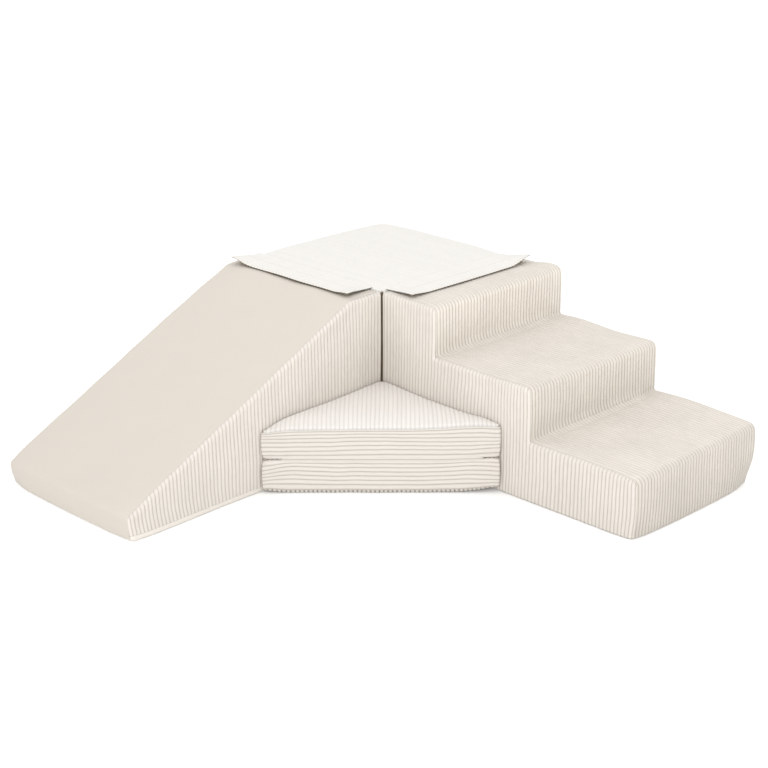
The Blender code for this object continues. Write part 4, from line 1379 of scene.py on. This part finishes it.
for layer, z0, z1 in (("lower", 0.0, MAT_FOLD - 0.001), ("upper", MAT_FOLD + 0.001, 2 * MAT_FOLD)):
    body = "mat_" + layer
    high = z1 - z0
    seed = 51 if layer == "lower" else 61

    def give(points, z0=z0, layer=layer):
        out = mat_soft(points - np.array([0, 0, z0]))
        if layer == "lower":
            out[:, 2] *= 0.25
        else:
            out[:, 2] *= np.where(points[:, 2] > z0 + 0.04, 1.0, 0.2)
        leg = np.minimum(step(-points[:, 0], 0.004, 0.03), step(-points[:, 1], 0.004, 0.03))
        out[:, :2] *= (0.25 + 0.75 * leg)[:, None]
        out += EB[None] * (np.maximum(-(out @ EB), 0) * 0.35)[:, None]     # the front is held by the fold
        return out

    shape = mat_shape(z0, z1, seed)
    keep = mat_keep(z0, z1, 0.0 if layer == "lower" else -0.0006, 0.0006 if layer == "lower" else 0.012)
    r_low, r_top = (R_MAT, R_FOLD) if layer == "lower" else (R_FOLD, R_MAT)
    top_seam = (0.28 if layer == "lower" else 0.97) * r_top * math.pi / 2
    low_seam = (0.97 if layer == "lower" else 0.30) * r_low * math.pi / 2
    s = np.unique(np.round(mat_path.stations(0, mat_path.length, 0.0055, 0.0024), 7))
    s[0], s[-1] = 0.0, mat_path.length
    lo = r_low - (r_low * math.pi / 2 - low_seam - 0.0003)
    hi = high - r_top + (r_top * math.pi / 2 - top_seam - 0.0003)
    pitch = 0.0104
    lateral = columns(lo / pitch + 0.15, hi / pitch + 0.15, FINE) * pitch - 0.15 * pitch
    if layer == "lower":
        slot = ((mat_path.s_of((-0.190, -0.004)), high / 2), (0.12, 0.012))
    else:
        slot = ((mat_path.s_of((-0.004, -0.190)), high / 2), (0.12, 0.012))
    # the border gets mat, the shaded copy of the mat cloth
    border = strip(body + "_border_cover", ((0, 0, z0), X, Y, Z), mat_path, s, lateral, high, (r_low, r_top), "mat",
                   ribs="lateral", slot=slot, pitch=pitch, phase=0.15, warp=mat_warp(seed, high, layer == "upper"))
    for tx, ty in tips:                     # painted shade: deep brown in the notch where the layers' tips meet
        near_tip = gauss(np.hypot(border.P[:, 0] - tx * 1.045, border.P[:, 1] - ty * 1.045) / 0.011)
        border.shade = border.shade * (1 - np.clip(1.4 * near_tip, 0, 1) * gauss((border.P[:, 2] - MAT_FOLD) / 0.0042))
    if layer == "upper":                    # no painted seam shade between the top and the border
        border.edge_dark = 0.16 * (1 - step(border.P[:, 2], z1 - 0.020, z1 - 0.010))
    cover(border, FIT, body, [body + "_border"], give, shape, keep)
    for which, en, ea, level, seam, radius, nodes_for in (
            ("top", Z, EA, z1, top_seam, r_top, body + "_top_panel"),
            ("bottom", -Z, -EA, z0, low_seam, r_low, body + ("_base_panel" if layer == "lower" else "_inner_panel"))):
        corners = in_ab(mat_corners, ea, EB)
        bs = [c[1] for c in corners]
        aa = [c[0] for c in corners]
        r = [0.018 if abs(c[0]) < 0.05 else 0.0045 for c in corners]
        b0, b1 = min(bs) + radius - seam - 0.001, max(bs)
        rows = np.concatenate([b0 + np.array([0, 0.0010, 0.0022, 0.0038, 0.006]), np.arange(b0 + 0.010, b1 - 0.002, 0.0040)])
        # painted light: the plates get mat_top, the lit copy of the mat cloth
        plate = face(nodes_for + "_cover", ((0, 0, level), ea, EB, en), corners, r, radius, seam, (min(aa), max(aa)), rows,
                     "mat" if which == "bottom" and layer == "lower" else "mat_top",
                     FINE if which == "top" and layer == "upper" else COARSE, phase=0.5,
                     lean=(lambda a, b: 0.0012 * np.sin(a * 19 + 1) * np.sin(b * 15)) if which == "top" else None)
        if which == "top" and layer == "upper":
            plate.hem, plate.rise, plate.edge_tone = 0.0080, 0.35, 0.45
        if (which == "bottom") == (layer == "upper"):       # painted shade: deep brown dots between the wales' ends in the open ends of the fold
            a = plate.P @ EA
            plate.shade = 1 - step(np.abs(a), 0.225, 0.240) * (1 - step(plate.edge, 0.0020, 0.0050)) * (1 - wale(plate.q)) ** 0.6 \
                * (0.62 + 0.38 * step(plate.P @ EA, -0.1, 0.1))
        # painted shade: the base's grooves get mat_foot's near black brown, the shade between the wales' ends at the
        # foot
        if which == "bottom" and layer == "lower":
            plate.hem, plate.rise, plate.height, plate.seam = 0.0006, 1.0, 0.0024, 0.0
            plate.look = "mat_foot"
        cover(plate, FIT, body, [nodes_for], give, shape, keep)
    if layer == "upper":
        pad = prism_form("mat_upper_pad", mat_in, z0 + FOAM_IN, z1 - FOAM_IN, ((0, 0, 0), X, Y, Z), 0.0070)
        pts = coords(pad)
    else:
        pad, pts = mat_pad, mat_rest
    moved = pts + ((0.6 * give(pts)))
    moved = moved + 0.9 * shape(moved)
    set_coords(pad, moved)
    foam_piece(pad, FIT, body, body + "_foam")

# the cloth fold that joins the two layers along the front
front = EB * FRONT_B
fold_low, fold_high = MAT_FOLD - 0.0050, MAT_FOLD + 0.0050
fold_path = Path([(-0.0054, fold_low), (-0.0009, fold_low + 0.0006), (-0.0009, fold_high - 0.0006), (-0.0054, fold_high)],
                 [0, 0.0030, 0.0030, 0])
s = np.linspace(0, fold_path.length, 19)
lateral = np.arange(-0.232, 0.2321, 0.0058)
fold = strip("mat_fold_cloth", (front, -EB, Z, EA), fold_path, s, lateral + 1.0, 2.0, (0.0, 0.0), "mat", ribbed=1.0, dip=0.0)
fold.P = fold.P - EA[None] * 1.0
lifted = fold_lift(fold.P)
fold.q = 0.5 + np.clip((fold.P[:, 2] - fold_low) / (fold_high - fold_low), 0, 1)     # a groove in the middle
fold.height, fold.rise, fold.seam = 0.0013, 1.0, 0.0
fold.P = fold.P + lifted[:, None] * Z[None]
fold.extra = 0.0003 * waves(71, 0.03)(fold.P) - 0.0022 * (1 - np.minimum(step(fold.L - 1.0, -0.232, -0.215), 1 - step(fold.L - 1.0, 0.215, 0.232)))
obj = sheet_object(fold, FIT, 0.0009)
dress(obj, "mat")
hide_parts("mat_hinge_welt")
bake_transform(obj)
sheets.append((obj.name, (0.464, round(fold_path.length, 4)), round(0.464 * fold_path.length, 4)))


# --- fastening flaps

def flap(name, node, o, ev, eu, length, near_root, near_tip, tip_lift, near_lift, seed):
    """A doubled flap of corduroy: v runs out from the block, u along its edge, z up. Its wales run along v."""
    wide, thick, root = 0.0905, 0.0034, 0.0060
    z_low = 0.3992
    path = Path([(-root, z_low), (wide, z_low), (wide, z_low + thick), (-root, z_low + thick)], [thick * 0.48] * 4, closed=True, turn=22)
    s = path.stations(0, path.length, 0.0055, 0.0008)
    s[-1] = path.length
    u = columns(0.0, length / PITCH, FINE) * PITCH
    S, U = np.meshgrid(s[:-1], u, indexing="ij")
    p, n = path.at(S)
    v, z = p[..., 0], p[..., 1]
    top_side = step(z, z_low + 0.2 * thick, z_low + 0.7 * thick)
    rib = wale(U / PITCH)
    ends = np.minimum(U, length - U)
    shrink = np.sqrt(np.clip(1 - (1 - np.clip(ends / 0.0016, 0, 1)) ** 2, 0, 1)) * 0.9 + 0.1
    mid = z_low + thick / 2
    z = mid + (z - mid) * shrink
    at_edge = step(v, wide - 0.0050, wide - 0.0012)
    h = (rib - 1) * ((0.0007 * (0.15 + 0.85 * top_side)) * step(v, -root, 0.002) + 0.0018 * at_edge)
    sewn = np.exp(-((v - (wide - 0.049)) / 0.0013) ** 2) * top_side
    hem = -0.0007 * np.exp(-((v - (wide - 0.0085)) / 0.0009) ** 2) * top_side - 0.0011 * sewn
    hem += -0.0007 * np.exp(-((ends - 0.0085) / 0.0009) ** 2) * top_side
    h = h + hem
    v = v + n[..., 0] * h
    z = z + n[..., 1] * h
    t = np.clip(v / wide, 0, 1)
    start_at = near_root + (near_tip - near_root) * t
    u_real = U + start_at * (1 - step(U, 0.0, 0.09)) - 0.004 * np.sin(t * 3.0) * step(U, length - 0.03, length)
    far = step(U, length - 0.085, length)
    nearby = 1 - step(U, 0.0, 0.080)
    lift = tip_lift * far ** 1.4 * step(v, 0.005, wide) + near_lift * nearby ** 1.3 * step(v, 0.0, wide * 0.9)
    lift = lift + 0.0008 * (waves(seed, 0.07)(np.stack([U, v, z * 0], -1)) + 0.4) * step(v, 0.01, 0.06)
    lift = lift - 0.0006 * np.exp(-((v - 0.012) / 0.006) ** 2) - 0.0030 * nearby * (1 - step(v, 0.012, 0.070))
    v = v - lift * 0.16 * step(v, 0.02, wide)
    P = (np.asarray(o, float)[None, None] + v[..., None] * np.asarray(ev, float) + (u_real)[..., None] * np.asarray(eu, float)
         + (z + lift)[..., None] * Z)
    rows_n, cols_n = U.shape
    i = np.arange(rows_n)[:, None] * cols_n + np.arange(cols_n - 1)[None]
    j = ((np.arange(rows_n) + 1) % rows_n)[:, None] * cols_n + np.arange(cols_n - 1)[None]
    quads = np.stack([i, i + 1, j + 1, j], -1).reshape(-1, 4)
    V = P.reshape(-1, 3)
    N = (n[..., 0:1] * np.asarray(ev, float) + n[..., 1:2] * Z).reshape(-1, 3)
    f = quads
    sign = (np.cross(V[f[:, 2]] - V[f[:, 0]], V[f[:, 3]] - V[f[:, 1]]) * N[f[:, 0]]).sum()
    if sign < 0:
        quads = quads[:, ::-1]
    faces = [tuple(int(x) for x in row) for row in quads]
    first = [int(k * cols_n) for k in range(rows_n)]
    last = [int(k * cols_n + cols_n - 1) for k in range(rows_n)]
    if sign < 0:
        faces += [tuple(first), tuple(last[::-1])]
    else:
        faces += [tuple(first[::-1]), tuple(last)]
    V = (np.c_[V, np.ones(len(V))] @ np.array(FIT).T)[:, :3]
    uv = np.stack([(S + 0 * U).ravel(), (U / PITCH).ravel()], -1)
    # painted shade: the hem and stitch lines are painted a little darker, the underside's grooves a quarter darker, and
    # the lower half of the outer edge deep brown, the shadow line under the flap
    show = 0.07 + 0.93 * np.maximum(at_edge * (1 - 0.50 * top_side), 0)
    groove = (1 - (1 - rib) * show) * (1 - 0.10 * np.exp(-((ends - 0.0085) / 0.0008) ** 2)) * (1 - 0.10 * np.exp(-((v - (wide - 0.0085)) / 0.0008) ** 2))
    groove = groove * (1 - 0.16 * sewn)
    low_edge = (1 - step(n[..., 1], -0.35, 0.25)) * step(v, wide - 0.010, wide - 0.003)
    groove = groove * (0.75 + 0.25 * step(top_side, 0.1, 0.5)) * (1 - low_edge) - low_edge
    obj = new_object(name, V, faces, uv, np.clip(groove, -1, 1).ravel())
    bm = bmesh.new()
    bm.from_mesh(obj.data)
    bmesh.ops.recalc_face_normals(bm, faces=bm.faces)
    bm.to_mesh(obj.data)
    bm.free()
    dress(obj, "flap")
    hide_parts(node)
    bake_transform(obj)
    sheets.append((obj.name, (0.0965, round(length, 3)), round(0.0965 * length, 4)))
    return obj


flap("flap_slide_cloth", "flap_slide_panel", (0, 0, 0), -X, Y, 0.446, 0.038, 0.026, 0.0090, 0.0045, 81)
flap("flap_stairs_cloth", "flap_stairs_panel", (0, 0, 0), -Y, X, 0.437, 0.020, 0.012, 0.0145, 0.0045, 91)


# --- hook and loop strips

def tape_strip(name, node, body, look, low, high, seed, rough_top, rough_low):
    """A thin strip of fastening tape with rounded corners, a selvedge and a napped face."""
    lx, ly = high[0] - low[0], high[1] - low[1]
    nx, ny = max(8, int(lx / 0.0030)), max(8, int(ly / 0.0030))
    gx, gy = np.linspace(0, 1, nx), np.linspace(0, 1, ny)
    gx, gy = (np.r_[0, 0.0012 / lx, gx[1:-1], 1 - 0.0012 / lx, 1], np.r_[0, 0.0012 / ly, gy[1:-1], 1 - 0.0012 / ly, 1])
    GX, GY = np.meshgrid(gx, gy, indexing="ij")
    x, y = low[0] + GX * lx, low[1] + GY * ly
    edge = np.minimum(np.minimum(GX, 1 - GX) * lx, np.minimum(GY, 1 - GY) * ly)
    corner = np.minimum(GX, 1 - GX) * lx + np.minimum(GY, 1 - GY) * ly
    pull = np.maximum(0.004 - corner, 0) * 0.35
    x = x + np.where(GX < 0.5, 1, -1) * pull
    y = y + np.where(GY < 0.5, 1, -1) * pull
    thick = high[2] - low[2]
    rng = np.random.default_rng(seed)
    nap = rng.uniform(0, 1, GX.shape)
    inner = step(edge, 0.0016, 0.0034)
    top_z = high[2] - 0.0003 * (1 - inner) - rough_top * nap * inner - 0.0001
    low_z = low[2] + 0.0003 * (1 - inner) + rough_low * rng.uniform(0, 1, GX.shape) * inner + 0.0001
    tz, bz = top_z - 0.00025 * (edge < 1e-6), low_z + 0.00025 * (edge < 1e-6)
    V = np.concatenate([np.stack([x, y, tz], -1).reshape(-1, 3), np.stack([x, y, bz], -1).reshape(-1, 3)])
    r, c = GX.shape
    q = grid_quads(r, c)[:, ::-1]
    count = r * c
    ring = np.r_[np.arange(c), np.arange(1, r) * c + c - 1, (r - 1) * c + np.arange(c - 2, -1, -1), np.arange(r - 2, 0, -1) * c]
    nxt = np.roll(ring, -1)
    rim = np.stack([ring, nxt, nxt + count, ring + count], -1)
    faces = np.concatenate([q, q[:, ::-1] + count, rim])
    V = (np.c_[V, np.ones(len(V))] @ np.array(FIT).T)[:, :3]
    obj = new_object(name, V, faces)
    bm = bmesh.new()
    bm.from_mesh(obj.data)
    bmesh.ops.recalc_face_normals(bm, faces=bm.faces)
    bm.to_mesh(obj.data)
    bm.free()
    dress(obj, look)
    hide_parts(node)
    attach(obj, body)
    flat = (round(min(lx, ly), 3), round(max(lx, ly), 3))
    sheets.append((obj.name, flat, round(flat[0] * flat[1], 4)))


for node, body, look, a, b in (("slide_loop_strip", "slide_module", "loop", 0.00025, 0.0), ("stairs_loop_strip", "stairs_module", "loop", 0.00025, 0.0),
                               ("flap_slide_hook_strip", "flap_slide", "hook", 0.0, 0.0003), ("flap_stairs_hook_strip", "flap_stairs", "hook", 0.0, 0.0003)):
    low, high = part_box(node)
    low, high = np.array(low) - [C, C, 0], np.array(high) - [C, C, 0]
    tape_strip(node + "_tape", node, body, look, low, high, len(node), a, b)


# --- zips

def zip_pieces(prefix, length, where, rotation, body, slider_body, base):
    place = base @ Matrix.Translation(where) @ rotation.to_matrix().to_4x4()
    bm = bmesh.new()

    def slab(x0, x1, y0, y1, z0, z1, nx, wave):
        """A woven half of the tape, with a slightly wavy outer edge."""
        rows = []
        for k in range(nx + 1):
            x = x0 + (x1 - x0) * k / nx
            w = wave * math.sin(k * 1.7) + wave * 0.6 * math.sin(k * 0.63 + 1)
            ring = [(x, y0, z0), (x, y1 + w, z0), (x, y1 + w, (z0 + z1) / 2), (x, y1 + w * 0.8, z1), (x, (y0 + y1) / 2, z1 + abs(wave) * 0.3), (x, y0, z1)]
            rows.append([bm.verts.new(v) for v in ring])
        for a, b in zip(rows, rows[1:]):
            for i in range(6):
                j = (i + 1) % 6
                bm.faces.new((a[i], a[j], b[j], b[i]))
        bm.faces.new(rows[0][::-1])
        bm.faces.new(rows[-1])

    half = length / 2
    nx = int(length / 0.009)
    slab(-half - 0.004, half + 0.004, 0.0003, 0.0148, -0.0043, -0.0036, nx, 0.0002)
    slab(-half - 0.004, half + 0.004, -0.0003, -0.0148, -0.0043, -0.0036, nx, -0.0002)
    pitch = 0.0016
    count = int((length - 0.008) / pitch)
    for k in range(count):
        for side in (1, -1):
            x = -half + 0.004 + pitch * (k + (0.5 if side < 0 else 0.0))
            ring0, ring1 = [], []
            for a in range(6):
                ang = a * math.pi / 3
                cx, cz = 0.00052 * math.cos(ang), 0.00055 * math.sin(ang)
                ring0.append(bm.verts.new((x + cx, -side * 0.0004, -0.0031 + cz)))
                ring1.append(bm.verts.new((x + cx * 0.9, side * 0.0024, -0.0031 + cz * 0.9)))
            for i in range(6):
                j = (i + 1) % 6
                bm.faces.new((ring0[i], ring0[j], ring1[j], ring1[i]))
            bm.faces.new(ring0[::-1])
            bm.faces.new(ring1)
    bmesh.ops.recalc_face_normals(bm, faces=bm.faces)
    mesh = bpy.data.meshes.new(prefix + "_zip_tape_and_teeth")
    bm.to_mesh(mesh)
    bm.free()
    mesh.transform(place)
    uv = mesh.uv_layers.new(name="Pattern")
    inv = place.inverted()
    flat_uv = []
    for loop in mesh.loops:
        p = inv @ mesh.vertices[loop.vertex_index].co
        flat_uv += [p.x, p.y / PITCH]
    uv.data.foreach_set("uv", flat_uv)
    rib = mesh.attributes.new("rib", "FLOAT", "POINT")
    rib.data.foreach_set("value", [0.9] * len(mesh.vertices))
    mesh.shade_smooth()
    mesh.set_sharp_from_angle(angle=math.radians(50))
    obj = bpy.data.objects.new(prefix + "_zip_tape_and_teeth", mesh)
    scene.collection.objects.link(obj)
    dress(obj, "tape")
    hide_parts(prefix + "_zip_chain")
    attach(obj, body)

    # slider: a Y-shaped top plate with a low crown over the coil
    bm = bmesh.new()
    outline = [(-0.0060, -0.0030), (-0.0060, 0.0030), (-0.0035, 0.0034), (0.0005, 0.0047), (0.0045, 0.0050), (0.0060, 0.0040),
               (0.0053, 0.0010), (0.0046, 0.0), (0.0053, -0.0010), (0.0060, -0.0040), (0.0045, -0.0050), (0.0005, -0.0047), (-0.0035, -0.0034)]
    rings = []
    for z, k in ((-0.0032, 0.97), (-0.0027, 1.0), (-0.0019, 1.0), (-0.0014, 0.95), (-0.0012, 0.86)):
        rings.append([bm.verts.new((x * k, y * k, z)) for x, y in outline])
    for a, b in zip(rings, rings[1:]):
        for i in range(len(outline)):
            j = (i + 1) % len(outline)
            bm.faces.new((a[i], b[i], b[j], a[j]))
    bm.faces.new(rings[0])
    bm.faces.new(rings[-1][::-1])
    arch = []                       # crown: a small arch lengthwise on the plate
    for k in range(9):
        t = k / 8
        x = -0.0036 + 0.0068 * t
        z = -0.0013 + 0.0010 * math.sin(math.pi * t)
        arch.append([bm.verts.new((x, y, z + dz)) for y, dz in ((-0.0010, -0.0003), (-0.0010, 0.0002), (-0.0006, 0.0005), (0.0006, 0.0005), (0.0010, 0.0002), (0.0010, -0.0003))])
    for a, b in zip(arch, arch[1:]):
        for i in range(6):
            j = (i + 1) % 6
            bm.faces.new((a[i], a[j], b[j], b[i]))
    bm.faces.new(arch[0][::-1])
    bm.faces.new(arch[-1])
    bmesh.ops.recalc_face_normals(bm, faces=bm.faces)
    mesh = bpy.data.meshes.new(prefix + "_zip_slider_body")
    bm.to_mesh(mesh)
    bm.free()
    mesh.transform(place @ Matrix.Translation((-length / 2 + 0.010, 0, 0)))
    mesh.shade_smooth()
    mesh.set_sharp_from_angle(angle=math.radians(35))
    obj = bpy.data.objects.new(prefix + "_zip_slider_body", mesh)
    scene.collection.objects.link(obj)
    dress(obj, "slider")
    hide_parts(prefix + "_zip_slider")
    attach(obj, slider_body)


from mathutils import Euler
half_pi = math.pi / 2
zip_pieces("block", 0.36, (SIDE, SIDE / 2, 0.045), Euler((half_pi, 0, half_pi)), "block", "block_zip", FIT)
zip_pieces("slide", 0.50, (-0.3636, SIDE + 0.0088, 0.045), Euler((half_pi, 0, math.pi)), "slide_module", "slide_zip", FIT)
zip_pieces("stairs", 0.56, (-0.3840, -0.0085, 0.045), Euler((half_pi, 0, 0)), "stairs_module", "stairs_zip", STAIRS)
zip_pieces("mat_lower", 0.24, (-0.190, -0.004, (MAT_FOLD - 0.001) / 2), Euler((half_pi, 0, math.pi)), "mat_lower", "mat_lower_zip", FIT)
zip_pieces("mat_upper", 0.24, (-0.004, -0.190, (3 * MAT_FOLD + 0.001) / 2), Euler((half_pi, 0, half_pi)), "mat_upper", "mat_upper_zip", FIT)


# ---------------------------------------------------------------- floor, light and camera

def floor():
    s = Shader("studio_floor")
    at = s.add("ShaderNodeTexCoord").outputs["Object"]
    soft = s.noise(at, 3.0, 2.0)
    colour = s.scaled(s.vector(0.96, 0.96, 0.96), s.about_one(soft, 0.004))
    s.finish(colour, 0.9, specular=0.05)
    bm = bmesh.new()
    bmesh.ops.create_grid(bm, x_segments=8, y_segments=8, size=40.0)
    mesh = bpy.data.meshes.new("studio_floor")
    bm.to_mesh(mesh)
    bm.free()
    obj = bpy.data.objects.new("studio_floor", mesh)
    obj.location = (0, 0, -0.0004)
    scene.collection.objects.link(obj)
    mesh.materials.append(s.material)
    obj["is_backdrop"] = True


def area_light(name, where, target, size, energy, colour=(1, 1, 1)):
    data = bpy.data.lights.new(name, "AREA")
    data.shape = "DISK"
    data.size = size
    data.energy = energy
    data.color = colour
    obj = bpy.data.objects.new(name, data)
    obj.location = where
    obj.rotation_euler = (Vector(target) - Vector(where)).to_track_quat("-Z", "Y").to_euler()
    scene.collection.objects.link(obj)
    return obj


floor()
area_light("front", (-3.75, -3.25, 2.3), (0.1, 0.1, 0.1), 3.4, 125.0, (1.0, 0.995, 0.985))

world = bpy.data.worlds.new("studio")
scene.world = world
world.use_nodes = True
tree = world.node_tree
background = tree.nodes["Background"]
background.inputs["Color"].default_value = (1.0, 1.0, 1.0, 1.0)
sky = tree.nodes.new("ShaderNodeTexCoord")
split = tree.nodes.new("ShaderNodeSeparateXYZ")
tree.links.new(sky.outputs["Generated"], split.inputs[0])
ramp_up = tree.nodes.new("ShaderNodeMath")
ramp_up.operation = "MULTIPLY_ADD"
ramp_up.use_clamp = False
ramp_up.inputs[1].default_value = 0.44
ramp_up.inputs[2].default_value = 0.93
tree.links.new(split.outputs["Z"], ramp_up.inputs[0])
tree.links.new(ramp_up.outputs[0], background.inputs["Strength"])

scene.view_settings.view_transform = "Standard"
scene.view_settings.look = "None"
scene.view_settings.exposure = 0.0
scene.view_settings.gamma = 1.0

camera_data = bpy.data.cameras.new("camera")
camera_data.sensor_width = 36.0
camera_data.lens = 81.12
camera_data.clip_start = 0.05
camera_data.clip_end = 60.0
camera_data.dof.use_dof = False
camera = bpy.data.objects.new("camera", camera_data)
camera.location = (-2.6136, -2.6229, 1.6145)
yaw, pitch = math.radians(45.021), math.radians(20.302)
forward = Vector((math.cos(pitch) * math.cos(yaw), math.cos(pitch) * math.sin(yaw), -math.sin(pitch)))
camera.rotation_euler = forward.to_track_quat("-Z", "Y").to_euler()
scene.collection.objects.link(camera)
scene.camera = camera

low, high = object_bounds()
